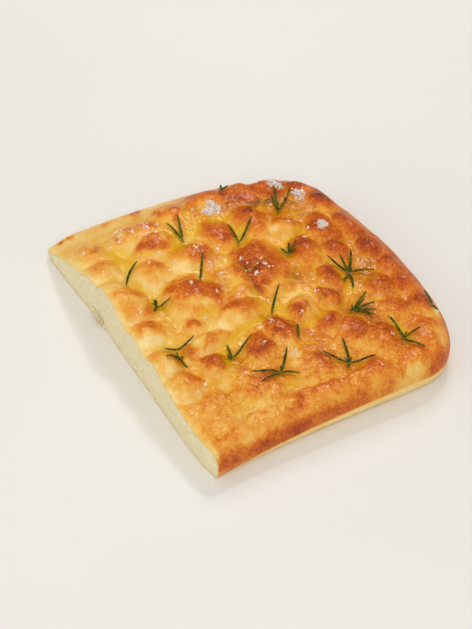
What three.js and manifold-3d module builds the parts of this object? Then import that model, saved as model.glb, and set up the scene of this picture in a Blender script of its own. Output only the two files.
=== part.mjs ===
// Half of a focaccia: one thick, dimpled slab of oily flat bread with a straight cut along the front,
// salt flakes baked on, and sprigs of rosemary lying in the dimples.
// Millimetres, +Z up. X runs along the cut and +Y from the cut to the rounded back. The sizes below
// are laid out round a point near the middle of the base, and the finished group is moved so that
// the origin is exactly the middle of its footprint.
import * as THREE from 'three';
import { mergeVertices } from 'three/addons/utils/BufferGeometryUtils.js';
import Module from 'manifold-3d';

const wasm = await Module();
wasm.setup();

// ---------------------------------------------------------------- driving dimensions

const cutY = -108.5;              // the line of the cut
// The knife wandered off that line: middle of each bow along X, its reach, and how far it sways in Y.
const cutBows = [[-50, 32, 1.5], [90, 55, -2.4]];
const cutBowStart = 5;            // the cut runs straight this close to its ends
const cutBowFade = 14;            // and the bows have grown in this much further along
const hub = [0, cutY];            // middle of the cut, from which the rim is swept

// Rim corners from the left end of the cut, round the back, to its right end: place, how tall the
// side wall is, how far in the top keeps rounding, and how far the wall is tucked in at the base.
const rim = [
  { at: [-132.5, cutY], wall: 7.5, shoulder: 84, tuck: 2.0 },
  { at: [-135, -86], wall: 10.5, shoulder: 82, tuck: 2.5 },
  { at: [-120.5, 38], wall: 11, shoulder: 58, tuck: 3.0 },
  { at: [-62, 104], wall: 14, shoulder: 28, tuck: 4.0 },
  { at: [68, 109.5], wall: 16, shoulder: 16, tuck: 4.0 },
  { at: [133, 62], wall: 14, shoulder: 12, tuck: 3.5 },
  { at: [126.5, cutY], wall: 12, shoulder: 12, tuck: 5.0 },
];
// Handles of the curves between those corners.
const rimHandles = [
  [[-133.5, -103], [-135.2, -96]],
  [[-134.5, -48], [-130, 2]],
  [[-112, 68], [-93, 99]],
  [[-24, 111], [30, 113]],
  [[106, 107], [136, 92]],
  [[131, 20], [125, -40]],
];

const valleyHeight = 34.5;        // the top between the domes, left and middle
const rightDrop = 8;              // how much lower the right side bakes
const middleRise = 2;             // how much the middle stands above the cut
const domeFade = 5;               // domes die out this close to the rim
const domeSharpness = 5;          // how crisply two domes meet

// Domes of the risen dough: x, y, half length, half width, turn in degrees, height.
const domes = [
  [-28, -99, 26, 16, 20, 12.5], [10, -98, 15, 14, 0, 8], [-60, -97, 17, 15, 0, 6.5], [-91, -93, 19, 15, 0, 4],
  [40, -101, 14, 12, 0, 10], [63, -98, 14, 14, 0, 8], [93, -91, 22, 19, 0, 4.5], [115, -78, 10, 26, 4, 3],
  [-89, -57, 14, 20, 0, 4.5], [-67, -50, 12, 17, 10, 6], [-40, -65, 17, 14, 0, 6], [-4, -52, 24, 21, -20, 8],
  [18, -64, 9, 8, 0, 4], [37, -64, 8, 19, 0, 6], [56, -69, 11, 10, 0, 6], [93, -53, 20, 17, 0, 3],
  [-99, -20, 17, 13, 0, 4.5], [-44, -31, 15, 19, 0, 6.5], [-51, -3, 17, 13, 10, 5.5], [-7, 8, 28, 21, -6, 9],
  [26, -29, 13, 20, 0, 5.5], [55, -11, 14, 11, 0, 6], [60, -33, 13, 13, 0, 5.5], [93, -12, 19, 17, 0, 3],
  [116, -18, 12, 22, 0, 2.5], [45, 12, 11, 12, 0, 7.5], [46, 34, 11, 9, 0, 6], [64, 22, 12, 12, 0, 5],
  [-97, 12, 17, 15, 0, 5.5], [-94, 40, 12, 13, 20, 5], [-50, 27, 18, 13, -10, 6], [-28, 46, 14, 11, 0, 6],
  [-2, 46, 18, 11, 0, 6.5], [81, 33, 14, 13, 0, 4.5], [99, 48, 20, 14, 10, 5], [118, 26, 12, 20, 0, 3],
  [-78, 60, 15, 13, 30, 5.5], [-13, 69, 20, 13, 0, 6.5], [10, 64, 13, 11, 0, 5.5], [33, 46, 13, 9, 0, 5.5],
  [56, 74, 14, 11, 0, 5], [78, 71, 15, 11, 0, 4.5], [106, 78, 17, 13, -25, 4.5], [121, 58, 11, 14, 0, 3.5],
  [-63, 78, 13, 11, 25, 6], [-43, 89, 14, 10, 8, 5.5], [-6, 90, 18, 10, 0, 5.5], [20, 91, 15, 10, 0, 5],
  [42, 92, 13, 9, 0, 5], [62, 91, 10, 9, 0, 5], [84, 92, 15, 10, -12, 4.5],
];

// Finger dimples: x, y, radius, depth.
const dimples = [
  [-13, -75, 10, 3.5], [-42, -84, 9, 3], [34, -85, 9, 2.5], [-17, -36, 9, 3], [-61, -27, 10, 3],
  [-36, 9, 9, 3.5], [36, -12, 9, 3], [58, -52, 9, 3], [84, -31, 10, 2], [62, 44, 9, 3.5], [31, 61, 9, 2.5],
  [-8, 33, 8, 3], [-51, 52, 9, 3], [102, 15, 10, 2.5], [102, 63, 9, 2.5], [-60, 40, 7, 3], [-72, -72, 10, 3],
  [76, -72, 9, 2], [14, 30, 8, 2.5], [73, -95, 8, 2], [-112, -40, 8, 2],
];

// Rosemary: place, then each needle's heading in degrees, length, sideways bend in degrees, tip lift.
const sprigs = [
  [32, 62.5, [143, 20, 12, 1], [49, 19, -38, 4], [202, 20.5, -22, 2], [335, 18, -20, 1], [185, 13, 10, 5],
    [305, 12, 0, 0]],
  [62.5, 45, [113, 19, 6, 1], [68, 17, 0, 4], [52, 18, 8, 2], [38, 17, 6, 1], [88, 10, 0, 5]],
  [102.5, 62, [181, 20, 26, 1], [72, 13, 14, 4], [18, 20, 4, 1]],
  [102.5, 15, [66, 20, -8, 3], [162, 21, 16, 1], [215, 22, -22, 1], [315, 5, 0, 1]],
  [84.5, -31, [136, 20, 8, 2], [34, 14, -20, 3], [243, 22, 4, 1], [280, 20, 0, 1]],
  [38, -10, [133, 24, -16, 4]],
  [67, -5, [154, 11, 6, 1]],
  [-7.5, 34.5, [95, 7, 0, 3], [150, 6, 0, 2], [35, 6, 0, 2], [215, 7, 0, 1]],
  [-51, 53, [159, 22, 4, 1], [122, 21, 14, 3], [172, 15, 0, 1]],
  [-37, 8, [121, 22, 18, 2], [180, 17, 4, 1]],
  [-16.5, -38, [144, 24, -4, 4]],
  [-61.5, -27, [160, 24, 6, 3], [188, 21, 22, 1]],
  [-43, -86, [129, 24, -34, 2]],
  [-13, -77, [52, 11, 0, 4], [318, 10, 6, 1], [172, 6, 0, 1]],
  [26.5, -93.5, [82, 25, 70, 2]],
  [56.5, -55, [107, 22, 14, 3], [170, 11, 6, 1], [215, 4, 0, 1]],
  [-95, 27, [148, 7, 0, 3], [62, 6, 0, 1]],
  [90, 97, [168, 15, 6, 1], [40, 5, 0, 1]],
  [41.5, -91, [119, 8, 8, 0], [20, 10, 6, 2], [267, 9, 20, 1]],
];
const needleWidth = 1.9;
const needleThickness = 1.0;
const needleClearance = 0.45;     // air left under every needle
const stemRadius = 1.0;
const needleSteps = 24;           // steps along a needle where the crust below it is felt

// Thick patches of coarse salt: x, y, radius of the patch, number of flakes.
const saltPatches = [[-79, 9, 7, 9], [-73.5, 63.5, 5, 4], [-55.5, 74, 5, 4], [-15, 69, 4.5, 5]];
// Single flakes, most of them over the left and the middle: x, y, size.
const singleFlakes = [
  [-87, -44, 4.2], [-87, -35, 3], [-77, -41, 3.4], [-80, -49, 2.4], [-105, -62, 3.6], [-92, -64, 3],
  [-85, -69, 3.4], [-86, -76, 2.6], [-88, -56, 4.2], [-90, -97, 3.4], [-44, -25, 3.2], [-38, -10, 4.2],
  [-51, -62, 3], [-42, -45, 2.8], [-38, -52, 3], [-30, -22, 2.8], [-58, -50, 3], [-14, -47, 3.2],
  [-86, -4, 2.6], [-16, -3, 3.4], [0, 8, 3.2], [3, -1, 4], [-15, -20, 3], [-13, 52, 3], [-10, 45, 2.4],
  [-20, 60, 2.8], [-32, 50, 2.6], [-66, 69, 3], [1, -34, 3], [18, -54, 2.6], [-8, -93, 3],
  [37, 29, 3.6], [32, 39, 2.4], [50, 9, 3], [66, 8, 2.4], [60, -30, 2.4], [68, -84, 3.6], [72, -92, 2.8],
  [98, 56, 2.8],
];
const flakeWidth = 4.2;
const flakeHeight = 1.5;
const sprigRoom = 5;              // the middle of a flake stays this far from every needle

const columns = 54;               // cells along the cut
const rows = 44;                  // cells from the cut to the back
const wallRows = 5;

// ---------------------------------------------------------------- materials

const crustFinish = new THREE.MeshStandardMaterial({ color: 0xc9863a, roughness: 0.42, metalness: 0 });
const leafFinish = new THREE.MeshStandardMaterial({ color: 0x3c5230, roughness: 0.6, metalness: 0 });

// ---------------------------------------------------------------- helpers

const mix = (a, b, t) => a + (b - a) * t;

function smooth(t) {
  const s = Math.min(1, Math.max(0, t));
  return s * s * (3 - 2 * s);
}

// A seeded draw between 0 and 1.
function seededDraw(seed) {
  let state = seed;
  return () => {
    state = (state * 1664525 + 1013904223) % 4294967296;
    return state / 4294967296;
  };
}

// Stops from 0 to 1: the given edge steps at either end and even cells between them.
function stopsBetween(startSteps, endSteps, cells) {
  const inner = cells - startSteps.length - endSteps.length;
  const first = startSteps[startSteps.length - 1];
  const last = 1 - endSteps[endSteps.length - 1];
  const stops = [0, ...startSteps];
  for (let i = 1; i < inner; i += 1) stops.push(mix(first, last, i / inner));
  return [...stops, ...endSteps.map((step) => 1 - step).reverse(), 1];
}

// ---------------------------------------------------------------- the rim

// One curve between two rim corners.
function rimCurve(index) {
  const [start, end] = [rim[index].at, rim[index + 1].at];
  const [first, second] = rimHandles[index];
  return new THREE.CubicBezierCurve(
    new THREE.Vector2(...start), new THREE.Vector2(...first),
    new THREE.Vector2(...second), new THREE.Vector2(...end));
}

const rimPath = new THREE.CurvePath();
for (let i = 0; i + 1 < rim.length; i += 1) rimPath.add(rimCurve(i));
const rimLengths = rimPath.getCurveLengths();
const rimLength = rimLengths[rimLengths.length - 1];

// Place on the rim and the edge's shape there, t from 0 at the cut's left end to 1 at its right.
function rimAt(t) {
  const point = rimPath.getPointAt(Math.min(1, Math.max(0, t)));
  const along = t * rimLength;
  let span = 0;
  while (span < rimLengths.length - 1 && along > rimLengths[span]) span += 1;
  const begins = span === 0 ? 0 : rimLengths[span - 1];
  const s = smooth((along - begins) / (rimLengths[span] - begins));
  const [a, b] = [rim[span], rim[span + 1]];
  return {
    x: point.x,
    y: point.y,
    wall: mix(a.wall, b.wall, s),
    shoulder: mix(a.shoulder, b.shoulder, s),
    tuck: mix(a.tuck, b.tuck, s),
  };
}

// The rim seen from the hub: bearing and reach of 400 places, for looking up the edge by bearing.
const rimTable = [];
for (let i = 0; i <= 400; i += 1) {
  const place = rimAt(i / 400);
  place.bearing = Math.PI - Math.atan2(Math.max(0, place.y - hub[1]), place.x - hub[0]);
  place.reach = Math.hypot(place.x - hub[0], place.y - hub[1]);
  rimTable.push(place);
}

function rimByBearing(bearing) {
  let low = 0;
  let high = rimTable.length - 1;
  while (high - low > 1) {
    const middle = (low + high) >> 1;
    if (rimTable[middle].bearing > bearing) high = middle;
    else low = middle;
  }
  const [a, b] = [rimTable[low], rimTable[high]];
  const s = (bearing - a.bearing) / Math.max(1e-9, b.bearing - a.bearing);
  return {
    reach: mix(a.reach, b.reach, s),
    wall: mix(a.wall, b.wall, s),
    shoulder: mix(a.shoulder, b.shoulder, s),
  };
}

// ---------------------------------------------------------------- the top

// How far the domes lift the top.
function domeLift(x, y) {
  let total = 0;
  for (const [cx, cy, length, width, turn, height] of domes) {
    const angle = THREE.MathUtils.degToRad(turn);
    const along = (x - cx) * Math.cos(angle) + (y - cy) * Math.sin(angle);
    const across = (y - cy) * Math.cos(angle) - (x - cx) * Math.sin(angle);
    const q = (along / (length * 1.12)) ** 2 + (across / (width * 1.12)) ** 2;
    if (q < 1) total += (height * (1 - q) ** 1.25) ** domeSharpness;
  }
  return total ** (1 / domeSharpness);
}

function dimpleDip(x, y) {
  let total = 0;
  for (const [cx, cy, radius, depth] of dimples) {
    total += depth * Math.exp(-((x - cx) ** 2 + (y - cy) ** 2) / (0.45 * radius * radius));
  }
  return total;
}

// Y of the cut at a place along it.
function cutLine(x) {
  const fromEnd = Math.min(x - rim[0].at[0], rim[rim.length - 1].at[0] - x);
  const ends = smooth((fromEnd - cutBowStart) / cutBowFade);
  return cutY + ends * cutBows.reduce(
    (sum, [middle, reach, sway]) => sum + sway * Math.exp(-(((x - middle) / reach) ** 2)), 0);
}

function topHeight(x, y) {
  const dx = x - hub[0];
  const dy = Math.max(0, y - hub[1]);
  const edge = rimByBearing(Math.PI - Math.atan2(dy, dx));
  const inward = Math.max(0, edge.reach - Math.hypot(dx, dy));
  const turn = 1 - Math.min(1, inward / edge.shoulder);
  const rounding = Math.sqrt(Math.max(0, 1 - turn ** 2));
  const slope = Math.sin((1 - turn) * Math.PI / 2);
  const gentle = smooth((edge.shoulder - 20) / 30);
  const crown = valleyHeight - rightDrop * smooth(x / 115) + middleRise * smooth((y + 80) / 80);
  const base = mix(edge.wall, crown, mix(rounding, slope, gentle));
  const relief = domeLift(x, y) - dimpleDip(x, y);
  return base + relief * smooth(inward / domeFade);
}

// ---------------------------------------------------------------- the bread

// A grid of points between four sides that share their corners.
function filledPatch(bottom, top, left, right) {
  const [n, m] = [bottom.length - 1, left.length - 1];
  const grid = [];
  for (let j = 0; j <= m; j += 1) {
    const line = [];
    for (let i = 0; i <= n; i += 1) {
      const [s, t] = [bottom[i].u ?? i / n, left[j].v ?? j / m];
      const blend = (axis) => mix(bottom[i][axis], top[i][axis], t) + mix(left[j][axis], right[j][axis], s)
        - mix(mix(bottom[0][axis], bottom[n][axis], s), mix(top[0][axis], top[n][axis], s), t);
      line.push({ x: blend('x'), y: blend('y'), z: blend('z') });
    }
    grid.push(line);
  }
  return grid;
}

// Triangles of a grid, counter-clockwise seen from the side where columns turn left into rows.
function gridTriangles(grid, out) {
  for (let j = 0; j + 1 < grid.length; j += 1) {
    for (let i = 0; i + 1 < grid[j].length; i += 1) {
      const [a, b, c, d] = [grid[j][i], grid[j][i + 1], grid[j + 1][i + 1], grid[j + 1][i]];
      out.push(a, b, c, a, c, d);
    }
  }
}

function closedGeometry(points) {
  const flat = new Float32Array(points.length * 3);
  points.forEach((p, i) => flat.set([p.x, p.y, p.z], i * 3));
  const geometry = new THREE.BufferGeometry();
  geometry.setAttribute('position', new THREE.BufferAttribute(flat, 3));
  return mergeVertices(geometry, 1e-4);
}

function breadGeometry() {
  const edgeSteps = (size, distances) => distances.map((distance) => distance / size);
  const alongStops = stopsBetween(edgeSteps(258, [2, 6]), edgeSteps(258, [0.7, 2.4, 5, 8.5]), columns);
  const backStops = stopsBetween(edgeSteps(215, [3]), edgeSteps(215, [0.9, 3, 6.5, 11]), rows);

  // The rim's three stretches: up the left side, along the back, and down the right side.
  const leftEnd = 0.32;
  const rightStart = 0.69;
  const leftRim = backStops.map((v) => ({ ...rimAt(leftEnd * v), v }));
  const backRim = alongStops.map((u) => rimAt(mix(leftEnd, rightStart, u)));
  const rightRim = backStops.map((v) => rimAt(mix(1, rightStart, v)));
  const lift = (place) => ({ ...place, z: place.wall });

  // The top of the cut, from the left end to the right end.
  const leftFoot = rimAt(0);
  const rightFoot = rimAt(1);
  const cutTop = alongStops.map((u) => {
    const x = mix(leftFoot.x, rightFoot.x, u);
    return { x, y: cutLine(x), z: topHeight(x, cutLine(x)), u };
  });
  cutTop[0].z = leftFoot.wall;
  cutTop[columns].z = rightFoot.wall;

  const top = filledPatch(cutTop, backRim.map(lift), leftRim.map(lift), rightRim.map(lift));
  for (let j = 1; j < rows; j += 1) {
    for (let i = 1; i < columns; i += 1) top[j][i].z = topHeight(top[j][i].x, top[j][i].y);
  }

  // The side wall, tucked in towards the base.
  const rimLoop = [...leftRim, ...backRim.slice(1), ...rightRim.slice(0, -1).reverse()];
  const wallAt = (index, share) => {
    const place = rimLoop[index];
    const before = rimLoop[Math.max(0, index - 1)];
    const after = rimLoop[Math.min(rimLoop.length - 1, index + 1)];
    const length = Math.hypot(after.x - before.x, after.y - before.y);
    const inset = place.tuck * (1 - Math.sin(share * Math.PI / 2)) ** 1.4;
    const atCut = index === 0 || index === rimLoop.length - 1;
    const inX = atCut ? -Math.sign(place.x) : (after.y - before.y) / length;
    const inY = atCut ? 0 : -(after.x - before.x) / length;
    return { x: place.x + inX * inset, y: place.y + inY * inset, z: place.wall * share };
  };
  const wall = [];
  for (let j = 0; j <= wallRows; j += 1) {
    wall.push(rimLoop.map((_, index) => wallAt(index, j / wallRows)));
  }

  // The cut face, slightly uneven where the knife dragged the crumb.
  const last = rimLoop.length - 1;
  const leftSide = wall.map((line) => line[0]);
  const rightSide = wall.map((line) => line[last]);
  const foot = alongStops.map((u) => {
    const x = mix(leftSide[0].x, rightSide[0].x, u);
    return { x, y: cutLine(x), z: 0, u };
  });
  const face = filledPatch(foot, cutTop, leftSide, rightSide);
  for (let j = 1; j < wallRows; j += 1) {
    for (let i = 1; i < columns; i += 1) {
      const p = face[j][i];
      p.y += 0.45 * (1 + Math.sin(p.x / 5.3 + p.z / 4) * Math.cos(p.x / 11.7 - p.z / 6));
    }
  }

  const points = [];
  gridTriangles(top, points);
  gridTriangles(wall.map((line) => [...line].reverse()), points);
  gridTriangles(face, points);

  // The flat base.
  const outline = [...foot.slice(0, -1), ...[...wall[0]].reverse().slice(0, -1)];
  const flatOutline = outline.map((p) => new THREE.Vector2(p.x, p.y));
  for (const [a, b, c] of THREE.ShapeUtils.triangulateShape(flatOutline, [])) {
    points.push(outline[a], outline[c], outline[b]);
  }
  return closedGeometry(points);
}

// ---------------------------------------------------------------- joining

function toManifold(geometry) {
  const merged = mergeVertices(geometry, 1e-4);
  return new wasm.Manifold(new wasm.Mesh({
    numProp: 3,
    vertProperties: new Float32Array(merged.attributes.position.array),
    triVerts: new Uint32Array(merged.index.array),
  }));
}

function fromManifold(solid) {
  const mesh = solid.getMesh();
  const geometry = new THREE.BufferGeometry();
  geometry.setAttribute('position', new THREE.BufferAttribute(new Float32Array(mesh.vertProperties), 3));
  geometry.setIndex(new THREE.BufferAttribute(new Uint32Array(mesh.triVerts), 1));
  geometry.computeVertexNormals();
  return geometry;
}

// ---------------------------------------------------------------- salt

// One flake: a low six-sided plate, narrower on top, half sunk in the crust.
function flakeSolid(x, y, size, turn, tilt) {
  const plate = new THREE.CylinderGeometry(size * 0.34, size * 0.5, flakeHeight, 6, 1);
  plate.deleteAttribute('normal');
  plate.deleteAttribute('uv');
  plate.rotateX(Math.PI / 2);
  plate.scale(1, 0.72, 1);
  plate.rotateY(tilt);
  plate.rotateZ(turn);
  plate.translate(x, y, topHeight(x, y) + flakeHeight * 0.1);
  return toManifold(plate);
}

function clearOfSprigs(x, y, room) {
  for (const [cx, cy, ...needles] of sprigs) {
    for (const [heading, length] of needles) {
      const angle = THREE.MathUtils.degToRad(heading);
      const along = (x - cx) * Math.cos(angle) + (y - cy) * Math.sin(angle);
      const nearest = Math.min(length, Math.max(0, along));
      const gap = Math.hypot(x - cx - nearest * Math.cos(angle), y - cy - nearest * Math.sin(angle));
      if (gap < room) return false;
    }
  }
  return true;
}

function saltPlaces() {
  const draw = seededDraw(41);
  const places = [];
  const spaced = (x, y, size) => places.every((p) => Math.hypot(p.x - x, p.y - y) > (p.size + size) * 0.55);
  const tryPlace = (x, y, size) => {
    const turn = draw() * Math.PI;
    const tilt = (draw() - 0.5) * 0.5;
    if (clearOfSprigs(x, y, sprigRoom) && spaced(x, y, size)) places.push({ x, y, size, turn, tilt });
  };
  for (const [x, y, size] of singleFlakes) tryPlace(x, y, size);
  for (const [cx, cy, radius, count] of saltPatches) {
    const wanted = places.length + count;
    for (let tries = 0; places.length < wanted && tries < 80; tries += 1) {
      const angle = draw() * 2 * Math.PI;
      const distance = radius * Math.sqrt(draw());
      const size = flakeWidth * mix(0.75, 1.2, draw());
      tryPlace(cx + distance * Math.cos(angle), cy + distance * Math.sin(angle), size);
    }
  }
  return places;
}

// ---------------------------------------------------------------- rosemary

// The way one needle lies over the crust, and the height of the crust under it.
function needleRoute(x, y, [heading, length, bend], surface) {
  const route = [];
  let [px, py] = [x, y];
  for (let i = 0; i <= needleSteps; i += 1) {
    const angle = THREE.MathUtils.degToRad(heading + bend * (i / needleSteps - 0.5));
    const [sideX, sideY] = [-Math.sin(angle), Math.cos(angle)];
    const half = needleWidth / 2;
    const ground = Math.max(
      surface(px, py),
      surface(px + sideX * half, py + sideY * half),
      surface(px - sideX * half, py - sideY * half));
    route.push({ x: px, y: py, sideX, sideY, ground });
    px += Math.cos(angle) * length / needleSteps;
    py += Math.sin(angle) * length / needleSteps;
  }
  return route;
}

// Height of a needle's middle at one step of its route, clear of the crust on both sides of the step.
function needleHeight(route, step) {
  const near = route.slice(Math.max(0, step - 3), step + 4);
  return Math.max(...near.map((place) => place.ground)) + needleClearance + needleThickness / 2;
}

// One needle: a thin, pointed, slightly bent leaf, split into triangles alike on both faces.
function needleSolid(route, lift, stemHeight) {
  const stations = [0, 0.12, 0.35, 0.6, 0.85, 1];
  const widths = [0.55, 0.95, 1, 0.85, 0.5, 0];
  const rings = stations.map((share, k) => {
    const step = Math.round(share * needleSteps);
    const { x, y, sideX, sideY } = route[step];
    const z = k === 0 ? stemHeight : needleHeight(route, step) + lift * share ** 1.6;
    const w = needleWidth / 2 * widths[k];
    const h = needleThickness / 2 * Math.max(0.35, widths[k]);
    return [
      { x: x + sideX * w, y: y + sideY * w, z },
      { x, y, z: z + h },
      { x: x - sideX * w, y: y - sideY * w, z },
      { x, y, z: z - h },
    ];
  });
  const tip = rings.pop()[0];
  const points = [];
  for (let k = 0; k + 1 < rings.length; k += 1) {
    for (let i = 0; i < 4; i += 1) {
      const j = (i + 1) % 4;
      points.push(rings[k][i], rings[k][j], rings[k + 1][j]);
      points.push(rings[k][i], rings[k + 1][j], rings[k + 1][i]);
    }
  }
  const [base, end] = [rings[0], rings[rings.length - 1]];
  points.push(base[0], base[2], base[1], base[0], base[3], base[2]);
  for (let i = 0; i < 4; i += 1) points.push(end[i], end[(i + 1) % 4], tip);
  return toManifold(closedGeometry(points));
}

// A sprig: its needles and the bit of stem that they grow from.
function sprigGeometry([x, y, ...needles], surface) {
  const routes = needles.map((needle) => needleRoute(x, y, needle, surface));
  const stemHeight = Math.max(...routes.map((route) => needleHeight(route, 0)));
  const solids = needles.map(([, , , lift], i) => needleSolid(routes[i], lift, stemHeight));
  if (needles.length > 1) {
    const stem = new THREE.IcosahedronGeometry(stemRadius, 0);
    stem.deleteAttribute('normal');
    stem.deleteAttribute('uv');
    stem.scale(1.3, 1.1, 0.6);
    stem.translate(x, y, stemHeight);
    solids.push(toManifold(stem));
  }
  return fromManifold(solids.reduce((joined, solid) => joined.add(solid)));
}

// ---------------------------------------------------------------- assembly

const loaf = breadGeometry();
loaf.computeBoundingBox();
const middle = loaf.boundingBox.getCenter(new THREE.Vector3());
const focaccia = new THREE.Group();
focaccia.position.set(-middle.x, -middle.y, 0);

let breadSolid = toManifold(loaf);
for (const { x, y, size, turn, tilt } of saltPlaces()) {
  breadSolid = breadSolid.add(flakeSolid(x, y, size, turn, tilt));
}
const bread = new THREE.Mesh(fromManifold(breadSolid), crustFinish);
bread.name = 'focaccia';
focaccia.add(bread);

// Height of the faceted crust below a point.
const caster = new THREE.Raycaster();
function crustBelow(x, y) {
  caster.set(new THREE.Vector3(x, y, 100), new THREE.Vector3(0, 0, -1));
  const hits = caster.intersectObject(bread);
  return hits.length ? hits[0].point.z : 0;
}

sprigs.forEach((sprig, index) => {
  const mesh = new THREE.Mesh(sprigGeometry(sprig, crustBelow), leafFinish);
  mesh.name = `rosemary_${String(index + 1).padStart(2, '0')}`;
  focaccia.add(mesh);
});

export default focaccia;
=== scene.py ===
import math

import bmesh
import bpy
import numpy as np
from mathutils import Euler, Matrix, Vector, noise


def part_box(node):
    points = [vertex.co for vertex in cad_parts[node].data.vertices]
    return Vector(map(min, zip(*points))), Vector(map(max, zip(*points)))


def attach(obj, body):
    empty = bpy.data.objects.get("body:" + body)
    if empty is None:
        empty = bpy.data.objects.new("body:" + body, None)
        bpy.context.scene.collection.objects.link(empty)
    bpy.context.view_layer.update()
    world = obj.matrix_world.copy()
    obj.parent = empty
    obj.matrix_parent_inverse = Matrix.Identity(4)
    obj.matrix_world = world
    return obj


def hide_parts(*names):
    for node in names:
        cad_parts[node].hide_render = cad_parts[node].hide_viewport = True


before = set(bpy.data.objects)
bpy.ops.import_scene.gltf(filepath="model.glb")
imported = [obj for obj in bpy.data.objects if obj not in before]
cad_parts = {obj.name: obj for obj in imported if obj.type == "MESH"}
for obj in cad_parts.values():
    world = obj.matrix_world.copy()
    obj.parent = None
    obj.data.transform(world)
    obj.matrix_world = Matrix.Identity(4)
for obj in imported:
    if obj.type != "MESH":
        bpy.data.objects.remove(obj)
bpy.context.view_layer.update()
scene = bpy.context.scene
print("frame loaded:", len(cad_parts), "nodes")

# Sizes are millimetres in the bread's own layout: X along the cut, Y from the cut to the back, Z up.
loaf = {
    "cutY": -108.5,  # the line of the cut
    "cutBows": [(-50, 32, 1.5), (90, 55, -2.4)],  # the knife's bows: middle along X, reach, sway in Y
    "cutBowStart": 5,
    "cutBowFade": 14,
    "valleyHeight": 34.5,  # the top between the domes
    "rightDrop": 8,
    "middleRise": 2,
    "domeFade": 5,  # domes die out this close to the rim
    "domeSharpness": 5,  # how crisply two domes meet
    "domeSpread": 1.12,  # how far the foot of a dome reaches past its half length and width
    "domeRounding": 1.25,
    "dimpleSpread": 0.45,
    "leftEnd": 0.32,  # where the left rim turns into the back rim
    "rightStart": 0.69,  # and the back rim into the right rim
}
# Rim corners from the left end of the cut round the back: place, side wall, shoulder, tuck at the base.
rim = [
    ((-132.5, -108.5), 7.5, 84, 2.0),
    ((-135, -86), 10.5, 82, 2.5),
    ((-120.5, 38), 11, 58, 3.0),
    ((-62, 104), 14, 28, 4.0),
    ((68, 109.5), 16, 16, 4.0),
    ((133, 62), 14, 12, 3.5),
    ((126.5, -108.5), 12, 12, 5.0),
]
rimHandles = [
    ((-133.5, -103), (-135.2, -96)),
    ((-134.5, -48), (-130, 2)),
    ((-112, 68), (-93, 99)),
    ((-24, 111), (30, 113)),
    ((106, 107), (136, 92)),
    ((131, 20), (125, -40)),
]
# Domes of the risen dough: x, y, half length, half width, height, and a turn in degrees if any.
domes = [
    (-28, -99, 26, 16, 12.5, 20), (10, -98, 15, 14, 8), (-60, -97, 17, 15, 6.5), (-91, -93, 19, 15, 4),
    (40, -101, 14, 12, 10), (63, -98, 14, 14, 8), (93, -91, 22, 19, 4.5), (115, -78, 10, 26, 3, 4),
    (-89, -57, 14, 20, 4.5), (-67, -50, 12, 17, 6, 10), (-40, -65, 17, 14, 6), (-4, -52, 24, 21, 8, -20),
    (18, -64, 9, 8, 4), (37, -64, 8, 19, 6), (56, -69, 11, 10, 6), (93, -53, 20, 17, 3),
    (-99, -20, 17, 13, 4.5), (-44, -31, 15, 19, 6.5), (-51, -3, 17, 13, 5.5, 10), (-7, 8, 28, 21, 9, -6),
    (26, -29, 13, 20, 5.5), (55, -11, 14, 11, 6), (60, -33, 13, 13, 5.5), (93, -12, 19, 17, 3),
    (116, -18, 12, 22, 2.5), (45, 12, 11, 12, 7.5), (46, 34, 11, 9, 6), (64, 22, 12, 12, 5),
    (-97, 12, 17, 15, 5.5), (-94, 40, 12, 13, 5, 20), (-50, 27, 18, 13, 6, -10), (-28, 46, 14, 11, 6),
    (-2, 46, 18, 11, 6.5), (81, 33, 14, 13, 4.5), (99, 48, 20, 14, 5, 10), (118, 26, 12, 20, 3),
    (-78, 60, 15, 13, 5.5, 30), (-13, 69, 20, 13, 6.5), (10, 64, 13, 11, 5.5), (33, 46, 13, 9, 5.5),
    (56, 74, 14, 11, 5), (78, 71, 15, 11, 4.5), (106, 78, 17, 13, 4.5, -25), (121, 58, 11, 14, 3.5),
    (-63, 78, 13, 11, 6, 25), (-43, 89, 14, 10, 5.5, 8), (-6, 90, 18, 10, 5.5), (20, 91, 15, 10, 5),
    (42, 92, 13, 9, 5), (62, 91, 10, 9, 5), (84, 92, 15, 10, 4.5, -12),
]
# Finger dimples: x, y, radius, depth.
dimples = [
    (-13, -75, 10, 3.5), (-42, -84, 9, 3), (34, -85, 9, 2.5), (-17, -36, 9, 3), (-61, -27, 10, 3),
    (-36, 9, 9, 3.5), (36, -12, 9, 3), (58, -52, 9, 3), (84, -31, 10, 2), (62, 44, 9, 3.5), (31, 61, 9, 2.5),
    (-8, 33, 8, 3), (-51, 52, 9, 3), (102, 15, 10, 2.5), (102, 63, 9, 2.5), (-60, 40, 7, 3),
    (-72, -72, 10, 3), (76, -72, 9, 2), (14, 30, 8, 2.5), (73, -95, 8, 2), (-112, -40, 8, 2),
]


def smooth(t):
    s = np.clip(t, 0.0, 1.0)
    return s * s * (3 - 2 * s)


def mix(a, b, t):
    return a + (b - a) * t


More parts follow.
